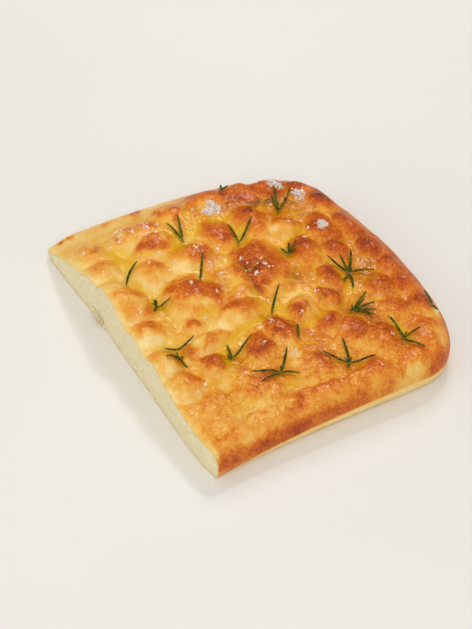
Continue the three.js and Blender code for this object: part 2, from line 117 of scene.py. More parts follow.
def traceRim():
    t = np.linspace(0, 1, 301)[:, None]
    table = {key: [] for key in ("x", "y", "wall", "shoulder", "tuck")}
    for (start, end), (first, second) in zip(zip(rim, rim[1:]), rimHandles):
        p, a, b, q = (np.array(corner, float) for corner in (start[0], first, second, end[0]))
        curve = (1 - t) ** 3 * p + 3 * (1 - t) ** 2 * t * a + 3 * (1 - t) * t ** 2 * b + t ** 3 * q
        walked = np.append(0, np.cumsum(np.hypot(*np.diff(curve, axis=0).T)))
        s = smooth(walked / walked[-1])
        table["x"] += list(curve[:, 0])
        table["y"] += list(curve[:, 1])
        for key, column in (("wall", 1), ("shoulder", 2), ("tuck", 3)):
            table[key] += list(mix(start[column], end[column], s))
    table = {key: np.array(values) for key, values in table.items()}
    steps = np.hypot(np.diff(table["x"]), np.diff(table["y"]))
    table["along"] = np.append(0, np.cumsum(steps))
    dx, dy = table["x"], np.maximum(0, table["y"] - loaf["cutY"])
    table["bearing"] = np.pi - np.arctan2(dy, dx)
    table["reach"] = np.hypot(dx, dy)
    return table


rimTable = traceRim()


def rimAt(t, key):
    return np.interp(np.asarray(t) * rimTable["along"][-1], rimTable["along"], rimTable[key])


def edgeAt(x, y):
    dy = np.maximum(0, y - loaf["cutY"])
    bearing = np.pi - np.arctan2(dy, x)
    reach, wall, shoulder = (np.interp(bearing, rimTable["bearing"], rimTable[key])
                             for key in ("reach", "wall", "shoulder"))
    return np.maximum(0, reach - np.hypot(x, dy)), wall, shoulder


# A place along and across an oval.
def ownAxes(x, y, cx, cy, turn=0):
    c, s = math.cos(math.radians(turn)), math.sin(math.radians(turn))
    return (x - cx) * c + (y - cy) * s, (y - cy) * c - (x - cx) * s


# How high each dome stands at a place.
def domeHeights(x, y):
    wider = loaf["domeSpread"]
    for cx, cy, length, width, height, *turn in domes:
        along, across = ownAxes(x, y, cx, cy, *turn)
        q = (along / (length * wider)) ** 2 + (across / (width * wider)) ** 2
        yield height * np.clip(1 - q, 0, 1) ** loaf["domeRounding"]


def domeLift(x, y):
    total = sum(height ** loaf["domeSharpness"] for height in domeHeights(x, y))
    return total ** (1 / loaf["domeSharpness"])


def dimpleDip(x, y):
    return sum(depth * np.exp(-((x - cx) ** 2 + (y - cy) ** 2) / (loaf["dimpleSpread"] * radius * radius))
               for cx, cy, radius, depth in dimples)


# Height over the dough between the domes.
def riseAt(x, y):
    return domeLift(x, y) - dimpleDip(x, y)


def cutLine(x):
    fromEnd = np.minimum(x - rim[0][0][0], rim[-1][0][0] - x)
    ends = smooth((fromEnd - loaf["cutBowStart"]) / loaf["cutBowFade"])
    sway = sum(bow * np.exp(-((x - middle) / reach) ** 2) for middle, reach, bow in loaf["cutBows"])
    return loaf["cutY"] + ends * sway


def topHeight(x, y):
    inward, wall, shoulder = edgeAt(x, y)
    turn = 1 - np.minimum(1, inward / shoulder)
    rounding = np.sqrt(np.maximum(0, 1 - turn ** 2))
    slope = np.sin((1 - turn) * np.pi / 2)
    gentle = smooth((shoulder - 20) / 30)
    crown = (loaf["valleyHeight"] - loaf["rightDrop"] * smooth(x / 115)
             + loaf["middleRise"] * smooth((y + 80) / 80))
    base = mix(wall, crown, mix(rounding, slope, gentle))
    return base + riseAt(x, y) * smooth(inward / loaf["domeFade"])


def fractal(x, y, size, seed, octaves=3):
    flat = [noise.fractal(Vector((a, b, seed)), 1.0, 2.0, octaves)
            for a, b in zip((x / size).ravel(), (y / size).ravel())]
    return np.array(flat).reshape(x.shape)


def ridges(x, y, size, seed):
    flat = [1 - abs(noise.noise(Vector((a, b, seed)))) * 2.2
            for a, b in zip((x / size).ravel(), (y / size).ravel())]
    return np.clip(np.array(flat).reshape(x.shape), 0, 1) ** 2


# Sums oval patches: x, y, half length, half width, strength in hundredths, and a turn in degrees if any.
def ovals(x, y, patches, crispness=1.3):
    total = np.zeros_like(x)
    for cx, cy, length, width, strength, *turn in patches:
        along, across = ownAxes(x, y, cx, cy, *turn)
        total += strength / 100 * np.exp(-((along / length) ** 2 + (across / width) ** 2) ** crispness)
    return total


relief = {
    "lumps": [(17, 0.9, 3.1), (8, 0.6, 7.7)],  # size, height and seed of the soft lumps
    "domeWarp": (24, 3.2),  # domes are pulled out of round: over what size, how far
    "seamWidth": 0.8,
    "seamDepth": 1.0,  # how deep the dough folds in between two domes
    "wrinkleWarp": (11, 2.2),
    "wrinkleSize": 6.5,
    "wrinkleHeight": 0.9,
    "fineSize": 2.8,
    "fineHeight": 0.3,
    "crumpledLeft": 0.18,
    "crumpledRight": 0.43,
    # Crumpled, blistered skin, in oval patches.
    "crumpled": [
        (-2, 3, 13, 12, 90), (47, 9, 8, 8, 80), (50, -12, 14, 9, 70), (62, -34, 9, 10, 80),
        (30, 47, 11, 6, 60, -20), (56, -67, 9, 8, 60), (-8, 62, 16, 7, 60), (88, 45, 22, 12, 70),
        (96, -60, 24, 38, 55), (66, 72, 26, 12, 50), (-66, 48, 6, 12, 70), (98, 0, 20, 26, 40),
    ],
    "creaseWaver": (6, 1.2),  # creases sway: over what size, how far
    "creaseWidth": 1.1,
    "creaseDepth": 0.7,
    # Folds in the skin, each a line of places.
    "creases": [
        [(-20, -8), (-8, -7), (5, -8), (15, -9)], [(-6, 12), (-4, 3), (-2, -4)],
        [(3, -42), (5, -50), (2, -58), (-3, -64)],
        [(-20, -40), (-21, -50), (-22, -56), (-26, -60), (-23, -68)], [(17, -42), (15, -52), (17, -60)],
        [(36, 0), (34, -12), (38, -20), (41, -32), (43, -45)], [(38, -50), (37, -60), (39, -70), (34, -78)],
        [(-40, -82), (-31, -85), (-28, -93), (-33, -102)], [(25, -90), (24, -98), (22, -106)],
        [(93, -90), (92, -78), (93, -68), (97, -60), (99, -50)], [(99, -44), (106, -48), (112, -50)],
        [(102, -70), (108, -76), (115, -73)], [(96, -18), (97, -30), (101, -40)],
        [(88, -5), (93, -12), (106, -16)], [(70, -80), (78, -84), (86, -82)],
        [(64, -96), (70, -92), (78, -95)], [(-57, -38), (-58, -48), (-60, -58), (-65, -66)],
        [(-88, 30), (-85, 38), (-80, 46), (-72, 48)], [(-68, 52), (-64, 44), (-61, 35)],
        [(-20, 56), (-18, 48), (-20, 40)], [(-40, 60), (-31, 56), (-23, 51)],
        [(41, 30), (50, 27), (56, 32), (57, 42), (51, 46)], [(104, 48), (110, 56), (106, 66)],
        [(14, 42), (24, 38), (36, 40)], [(20, 22), (14, 14), (16, 5)], [(-76, -8), (-66, -12), (-58, -22)],
        [(74, 4), (70, -6), (76, -14)], [(-46, 18), (-34, 12), (-30, 2)],
        [(-112, -66), (-102, -62), (-90, -66)],
    ],
}


# How near a place is to the fold between two domes, 0 to 1.
def seamsAt(x, y):
    first, second = np.zeros_like(x), np.zeros_like(x)
    for height in domeHeights(x, y):
        second = np.maximum(second, np.minimum(first, height))
        first = np.maximum(first, height)
    return np.exp(-((first - second) / relief["seamWidth"]) ** 2) * smooth((second - 0.15) / 1.2)


# How near a place is to one of the skin's folds, 0 to 1.
def creasesAt(x, y):
    nearest = np.full_like(x, 99.0)
    size, reach = relief["creaseWaver"]
    x = x + reach * fractal(x, y, size, 14.9, 2)
    for line in relief["creases"]:
        for (ax, ay), (bx, by) in zip(line, line[1:]):
            dx, dy = bx - ax, by - ay
            t = np.clip(((x - ax) * dx + (y - ay) * dy) / (dx * dx + dy * dy), 0, 1)
            nearest = np.minimum(nearest, np.hypot(x - ax - t * dx, y - ay - t * dy))
    return np.exp(-(nearest / relief["creaseWidth"]) ** 2)


def pulled(x, y):
    size, reach = relief["domeWarp"]
    inward, _, _ = edgeAt(x, y)
    free = smooth(inward / 12) * smooth((y - loaf["cutY"]) / 14) * reach
    return x + free * fractal(x, y, size, 61.3, 2), y + free * fractal(x, y, size, 83.9, 2)


# How crumpled the skin is, from 0 to 1.1.
def crumpledAt(x, y):
    everywhere = mix(relief["crumpledLeft"], relief["crumpledRight"], smooth((x - 10) / 70))
    return np.clip(everywhere + ovals(x, y, relief["crumpled"]), 0, 1.1)


def skinRelief(x, y):
    inward, _, _ = edgeAt(x, y)
    total = sum(height * fractal(x, y, size, seed) for size, height, seed in relief["lumps"])
    crumpled = crumpledAt(x, y)
    size, reach = relief["wrinkleWarp"]
    warpX, warpY = x + reach * fractal(x, y, size, 21.3, 2), y + reach * fractal(x, y, size, 35.9, 2)
    total += crumpled * relief["wrinkleHeight"] * (ridges(warpX, warpY, relief["wrinkleSize"], 5.5) - 0.35)
    total += (0.35 + crumpled) * relief["fineHeight"] * fractal(warpX, warpY, relief["fineSize"], 9.2, 2)
    total -= relief["creaseDepth"] * creasesAt(x, y)
    return total * smooth(inward / 4)


def crustHeight(x, y):
    x, y = np.asarray(x, float), np.asarray(y, float)
    inward, _, _ = edgeAt(x, y)
    domeX, domeY = pulled(x, y)
    moved = riseAt(domeX, domeY) - riseAt(x, y) - relief["seamDepth"] * seamsAt(domeX, domeY)
    return topHeight(x, y) + moved * smooth(inward / loaf["domeFade"]) + skinRelief(x, y)


cadLow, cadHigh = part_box("focaccia")
outlineX, outlineY = rimTable["x"], np.append(rimTable["y"], cutLine(np.linspace(-132, 126, 400)))
shift = np.array([(cadLow.x + cadHigh.x) * 500 - (outlineX.min() + outlineX.max()) / 2,
                  (cadLow.y + cadHigh.y) * 500 - (outlineY.min() + outlineY.max()) / 2, 0])
print("layout moved by", shift.round(2).tolist(), "mm")


def toFrame(points):
    return (np.asarray(points, float) + shift) * 0.001


# Stops from 0 to 1 along a side of some size: given steps in mm at both ends, even cells between them.
def gradedStops(size, startSteps, endSteps, cells):
    inner = cells - len(startSteps) - len(endSteps)
    even = np.linspace(startSteps[-1] / size, 1 - endSteps[-1] / size, inner + 1)
    start = [step / size for step in startSteps[:-1]]
    end = [1 - step / size for step in endSteps[-2::-1]]
    return np.array([0, *start, *even, *end, 1])


# A grid of points between four sides that share their corners.
def filledPatch(bottom, top, left, right, u, v):
    s, t = u[None, :, None], v[:, None, None]
    return (mix(bottom[None], top[None], t) + mix(left[:, None], right[:, None], s)
            - mix(mix(bottom[0], bottom[-1], s), mix(top[0], top[-1], s), t))


def points3(x, y, z):
    return np.stack(np.broadcast_arrays(np.asarray(x, float), y, z), axis=-1)


# One mesh object from grids of points, welded where they meet; values are attributes on the points.
def joinPatches(name, patches, keys=(), ngons=()):
    corners, faces, values, start = [], [], {key: [] for key in keys}, 0
    for patch in patches:
        points = patch["points"]
        index = start + np.arange(points.shape[0] * points.shape[1]).reshape(points.shape[:2])
        quads = np.stack([index[:-1, :-1], index[:-1, 1:], index[1:, 1:], index[1:, :-1]], axis=-1)
        corners.append(points.reshape(-1, 3))
        faces += quads.reshape(-1, 4).tolist()
        for key in keys:
            values[key].append(np.broadcast_to(patch.get(key, 0.0), points.shape[:2]).ravel())
        start += index.size
    for loop in ngons:
        corners.append(loop)
        faces.append(list(range(start, start + len(loop))))
        for key in keys:
            values[key].append(np.zeros(len(loop)))
        start += len(loop)
    mesh = bpy.data.meshes.new(name)
    mesh.from_pydata(toFrame(np.concatenate(corners)).tolist(), [], faces)
    for key in keys:
        addPointValues(mesh, key, np.concatenate(values[key]))
    welded = bmesh.new()
    welded.from_mesh(mesh)
    bmesh.ops.remove_doubles(welded, verts=welded.verts, dist=4e-6)
    welded.to_mesh(mesh)
    welded.free()
    return addPiece(name, mesh)


def addPointValues(mesh, name, values):
    mesh.attributes.new(name, "FLOAT", "POINT").data.foreach_set("value", np.asarray(values, np.float32))


def addPiece(name, mesh):
    piece = bpy.data.objects.new(name, mesh)
    scene.collection.objects.link(piece)
    return piece


def shadeSmooth(piece, angle):
    piece.data.shade_smooth()
    piece.data.set_sharp_from_angle(angle=math.radians(angle))


def report(piece):
    mesh = piece.data
    mesh.calc_loop_triangles()
    check = bmesh.new()
    check.from_mesh(mesh)
    openEdges = sum(1 for edge in check.edges if not edge.is_manifold)
    print(f"{piece.name}: {len(mesh.loop_triangles)} triangles, {openEdges} open edges, "
          f"{check.calc_volume(signed=True) * 1e6:.2f} cm3")
    check.free()


def addNode(tree, kind, settings=None, **inputs):
    node = tree.nodes.new(kind)
    for key, value in (settings or {}).items():
        setattr(node, key, value)
    for key, value in inputs.items():
        socket = node.inputs[int(key[1:])] if key[0] == "_" else node.inputs[key.replace("_", " ")]
        fillSocket(tree, socket, value)
    return node


def fillSocket(tree, socket, value):
    if isinstance(value, bpy.types.NodeSocket):
        tree.links.new(value, socket)
    else:
        socket.default_value = value


def newMaterial(name):
    material = bpy.data.materials.new(name)
    material.use_nodes = True
    tree = material.node_tree
    place = addNode(tree, "ShaderNodeTexCoord").outputs["Object"]
    return material, tree, tree.nodes["Principled BSDF"], place


def pointValue(tree, name):
    return addNode(tree, "ShaderNodeAttribute", {"attribute_name": name}).outputs["Fac"]


def mathNode(tree, operation, a, b=0.0, clamp=False):
    node = addNode(tree, "ShaderNodeMath", {"operation": operation, "use_clamp": clamp}, _0=a, _1=b)
    return node.outputs[0]


def plus(tree, a, b, clamp=False):
    return mathNode(tree, "ADD", a, b, clamp)


def minus(tree, a, b, clamp=False):
    return mathNode(tree, "SUBTRACT", a, b, clamp)


def times(tree, a, b):
    return mathNode(tree, "MULTIPLY", a, b)


def vectorNode(tree, operation, output=0, **inputs):
    return addNode(tree, "ShaderNodeVectorMath", {"operation": operation}, **inputs).outputs[output]


def grain(tree, place, size, detail=3.0, roughness=0.55, distortion=0.0):
    return addNode(tree, "ShaderNodeTexNoise", None, Vector=place, Scale=1000.0 / size, Detail=detail,
                   Roughness=roughness, Distortion=distortion).outputs["Fac"]


def spread(tree, value, low, high, toLow=0.0, toHigh=1.0):
    limits = {"From_Min": low, "From_Max": high, "To_Min": toLow, "To_Max": toHigh}
    node = addNode(tree, "ShaderNodeMapRange", {"interpolation_type": "SMOOTHSTEP"}, Value=value, **limits)
    return node.outputs["Result"]


# Sharp soft-sided ridges, 0 in the folds and 1 on the crests.
def wrinkleNoise(tree, place, size):
    bent = addNode(tree, "ShaderNodeTexNoise", None, Vector=place, Scale=1000.0 / (size * 2.2), Detail=2.0)
    offset = vectorNode(tree, "SUBTRACT", _0=bent.outputs["Color"], _1=(0.5, 0.5, 0.5))
    pushed = vectorNode(tree, "SCALE", _0=offset, Scale=size * 0.0016)
    moved = vectorNode(tree, "ADD", _0=place, _1=pushed)
    wave = grain(tree, moved, size, 1.5, 0.5)
    away = mathNode(tree, "ABSOLUTE", times(tree, minus(tree, wave, 0.5), 5.0))
    return spread(tree, away, 0.0, 0.4)


def blendColours(tree, factor, a, b, kind="MIX"):
    settings = {"data_type": "RGBA", "blend_type": kind}
    return addNode(tree, "ShaderNodeMix", settings, _0=factor, _6=a, _7=b).outputs[2]


def colour(red, green, blue):
    linear = [((c / 255 + 0.055) / 1.055) ** 2.4 if c > 10 else c / 255 / 12.92 for c in (red, green, blue)]
    return (*linear, 1.0)


def colourRamp(tree, value, stops):
    node = addNode(tree, "ShaderNodeValToRGB", None, Fac=value)
    ramp = node.color_ramp
    while len(ramp.elements) < len(stops):
        ramp.elements.new(0.5)
    for element, (place, _) in zip(ramp.elements, stops):
        element.position = place
    for element, (_, shade) in zip(ramp.elements, stops):
        element.color = colour(*shade)
    return node.outputs["Color"]


def addBump(tree, shader, height, strength, distance, socket="Normal"):
    bump = addNode(tree, "ShaderNodeBump", None, Strength=strength, Distance=distance, Height=height)
    tree.links.new(bump.outputs["Normal"], shader.inputs[socket])


def letLightIn(shader, weight, radius):
    shader.inputs["Subsurface Weight"].default_value = weight
    shader.inputs["Subsurface Radius"].default_value = radius
    shader.inputs["Subsurface Scale"].default_value = 1.0


crustLook = {
    "bakeColours": [(0.0, (250, 222, 152)), (0.18, (244, 194, 100)), (0.36, (236, 160, 54)),
                    (0.52, (220, 120, 28)), (0.68, (194, 86, 14)), (0.84, (152, 56, 8)), (1.0, (104, 36, 5))],
    "oilColour": (234, 192, 6),
    "baseColours": [(0.3, (222, 168, 98)), (0.7, (188, 118, 54))],
    # Size in mm, and how far it shifts the baking.
    "mottling": [(12, 0.13), (5, 0.11), (2.2, 0.13), (1.2, 0.17)],
    "wrinkles": [(11, 0.05, 0.8), (4.6, 0.02, 0.25)],  # size, darkening of the creases (partly browner skin, partly painted shade, the crests left lighter as a painted highlight), height
    "speckleSize": 1.5,
    "speckleDarkness": 0.16,
    "roughness": (0.5, 0.38),
    "oilRoughness": 0.25,
    "specular": 0.08,
    # The film of oil is a clear coat with its own soft bumps.
    "coat": 0.2,
    "coatIor": 1.8,
    "coatRoughness": 0.12,
}


def makeCrustMaterial():
    look = crustLook
    material, tree, shader, place = newMaterial("baked_crust_skin")
    bake, oil, crumpled = (pointValue(tree, name) for name in ("bake", "oil", "crumpled"))
    change, folds = 0.0, 0.0
    for size, depth in look["mottling"]:
        change = plus(tree, change, times(tree, minus(tree, grain(tree, place, size, 3), 0.5), depth * 2))
    # Wrinkle creases are painted darker than their crests: partly browner skin, partly painted shade, with
    # the crests left lighter as a painted highlight.
    for size, creaseBakeAndShade, height in look["wrinkles"]:
        fold = times(tree, wrinkleNoise(tree, place, size), crumpled)
        change = plus(tree, change, times(tree, minus(tree, crumpled, fold), creaseBakeAndShade))
        folds = plus(tree, folds, times(tree, fold, height))
    contrast = spread(tree, bake, 0.15, 0.75, 0.75, 1.5)
    total = plus(tree, bake, times(tree, change, contrast))
    speckle = spread(tree, grain(tree, place, look["speckleSize"], 1), 0.66, 0.76)
    speckled = spread(tree, grain(tree, place, 30, 1), 0.45, 0.6, 0.0, look["speckleDarkness"])
    total = plus(tree, total, times(tree, speckle, speckled), clamp=True)
    skin = colourRamp(tree, total, look["bakeColours"])
    oilColour = colour(*look["oilColour"])
    oiled = blendColours(tree, times(tree, oil, 0.5), skin, oilColour, "MULTIPLY")
    oiled = blendColours(tree, times(tree, oil, 0.55), oiled, oilColour)
    under = colourRamp(tree, grain(tree, place, 5, 4), look["baseColours"])
    level = addNode(tree, "ShaderNodeSeparateXYZ", None, Vector=place).outputs["Z"]
    shown = blendColours(tree, spread(tree, level, 0.0002, 0.0012), under, oiled)
    tree.links.new(shown, shader.inputs["Base Color"])
    dry = spread(tree, total, 0.2, 0.8, *look["roughness"])
    rough = addNode(tree, "ShaderNodeMix", {"data_type": "FLOAT"}, _0=oil, _2=dry, _3=look["oilRoughness"])
    tree.links.new(rough.outputs[0], shader.inputs["Roughness"])
    pores = times(tree, grain(tree, place, 0.9, 4, 0.6), 0.4)
    creases = times(tree, grain(tree, place, 2.4, 3, 0.6, 0.8), 0.6)
    addBump(tree, shader, plus(tree, plus(tree, pores, creases), folds), 0.75, 0.0012)
    film = plus(tree, times(tree, folds, 0.5), grain(tree, place, 5.0, 2, 0.5, 0.6))
    film = plus(tree, film, times(tree, grain(tree, place, 1.8, 1), 0.3))
    addBump(tree, shader, film, 0.5, 0.001, "Coat Normal")
    letLightIn(shader, 0.04, (0.004, 0.0018, 0.0006))
    shader.inputs["Specular IOR Level"].default_value = look["specular"]
    shader.inputs["Coat Weight"].default_value = look["coat"]
    shader.inputs["Coat IOR"].default_value = look["coatIor"]
    shader.inputs["Coat Roughness"].default_value = look["coatRoughness"]
    return material


def makeCrumbMaterial():
    material, tree, shader, place = newMaterial("soft_crumb")
    cloud = grain(tree, place, 2.2, 4, 0.65)
    body = colourRamp(tree, cloud, [(0.34, (248, 238, 204)), (0.66, (232, 214, 164))])
    # Pores are painted darker by their depth: painted shade in the holes of the crumb.
    body = blendColours(tree, times(tree, pointValue(tree, "poreDepthAndShade"), 0.55), body, colour(214, 190, 128))
    body = blendColours(tree, times(tree, pointValue(tree, "nearCrust"), 0.6), body, colour(236, 204, 132))
    tree.links.new(body, shader.inputs["Base Color"])
    shader.inputs["Roughness"].default_value = 0.75
    height = plus(tree, grain(tree, place, 1.2, 4, 0.7), times(tree, grain(tree, place, 0.5, 2), 0.4))
    addBump(tree, shader, height, 0.6, 0.0008)
    letLightIn(shader, 0.25, (0.005, 0.0035, 0.002))
    return material


def makeSaltMaterial():
    material, tree, shader, place = newMaterial("sea_salt")
    cloud = grain(tree, place, 1.4, 3)
    dry = colourRamp(tree, cloud, [(0.35, (246, 236, 230)), (0.7, (240, 220, 210))])
    moist = colourRamp(tree, cloud, [(0.35, (252, 231, 210)), (0.7, (240, 208, 180))])
    body = blendColours(tree, pointValue(tree, "heaped"), moist, dry)
    tree.links.new(body, shader.inputs["Base Color"])
    shader.inputs["Roughness"].default_value = 0.28
    shader.inputs["IOR"].default_value = 1.54
    addBump(tree, shader, grain(tree, place, 0.7, 2), 0.3, 0.0003)
    letLightIn(shader, 0.4, (0.003, 0.003, 0.003))
    return material


def makeRosemaryMaterial():
    material, tree, shader, place = newMaterial("rosemary_leaf")
    along = pointValue(tree, "along")
    leaf = colourRamp(tree, grain(tree, place, 2.2, 3), [(0.36, (42, 34, 4)), (0.66, (106, 112, 22))])
    leaf = blendColours(tree, spread(tree, along, 0.0, 0.22, 0.7, 0.0), leaf, colour(122, 118, 62))
    leaf = blendColours(tree, spread(tree, along, 0.8, 1.0, 0.0, 0.55), leaf, colour(70, 50, 22))
    tree.links.new(leaf, shader.inputs["Base Color"])
    shader.inputs["Roughness"].default_value = 0.5
    shader.inputs["Specular IOR Level"].default_value = 0.1
    addBump(tree, shader, grain(tree, place, 0.6, 2), 0.4, 0.0003)
    letLightIn(shader, 0.05, (0.001, 0.002, 0.0005))
    return material


crustMaterial = makeCrustMaterial()
crumbMaterial = makeCrumbMaterial()
saltMaterial = makeSaltMaterial()
rosemaryMaterial = makeRosemaryMaterial()
print("materials made")

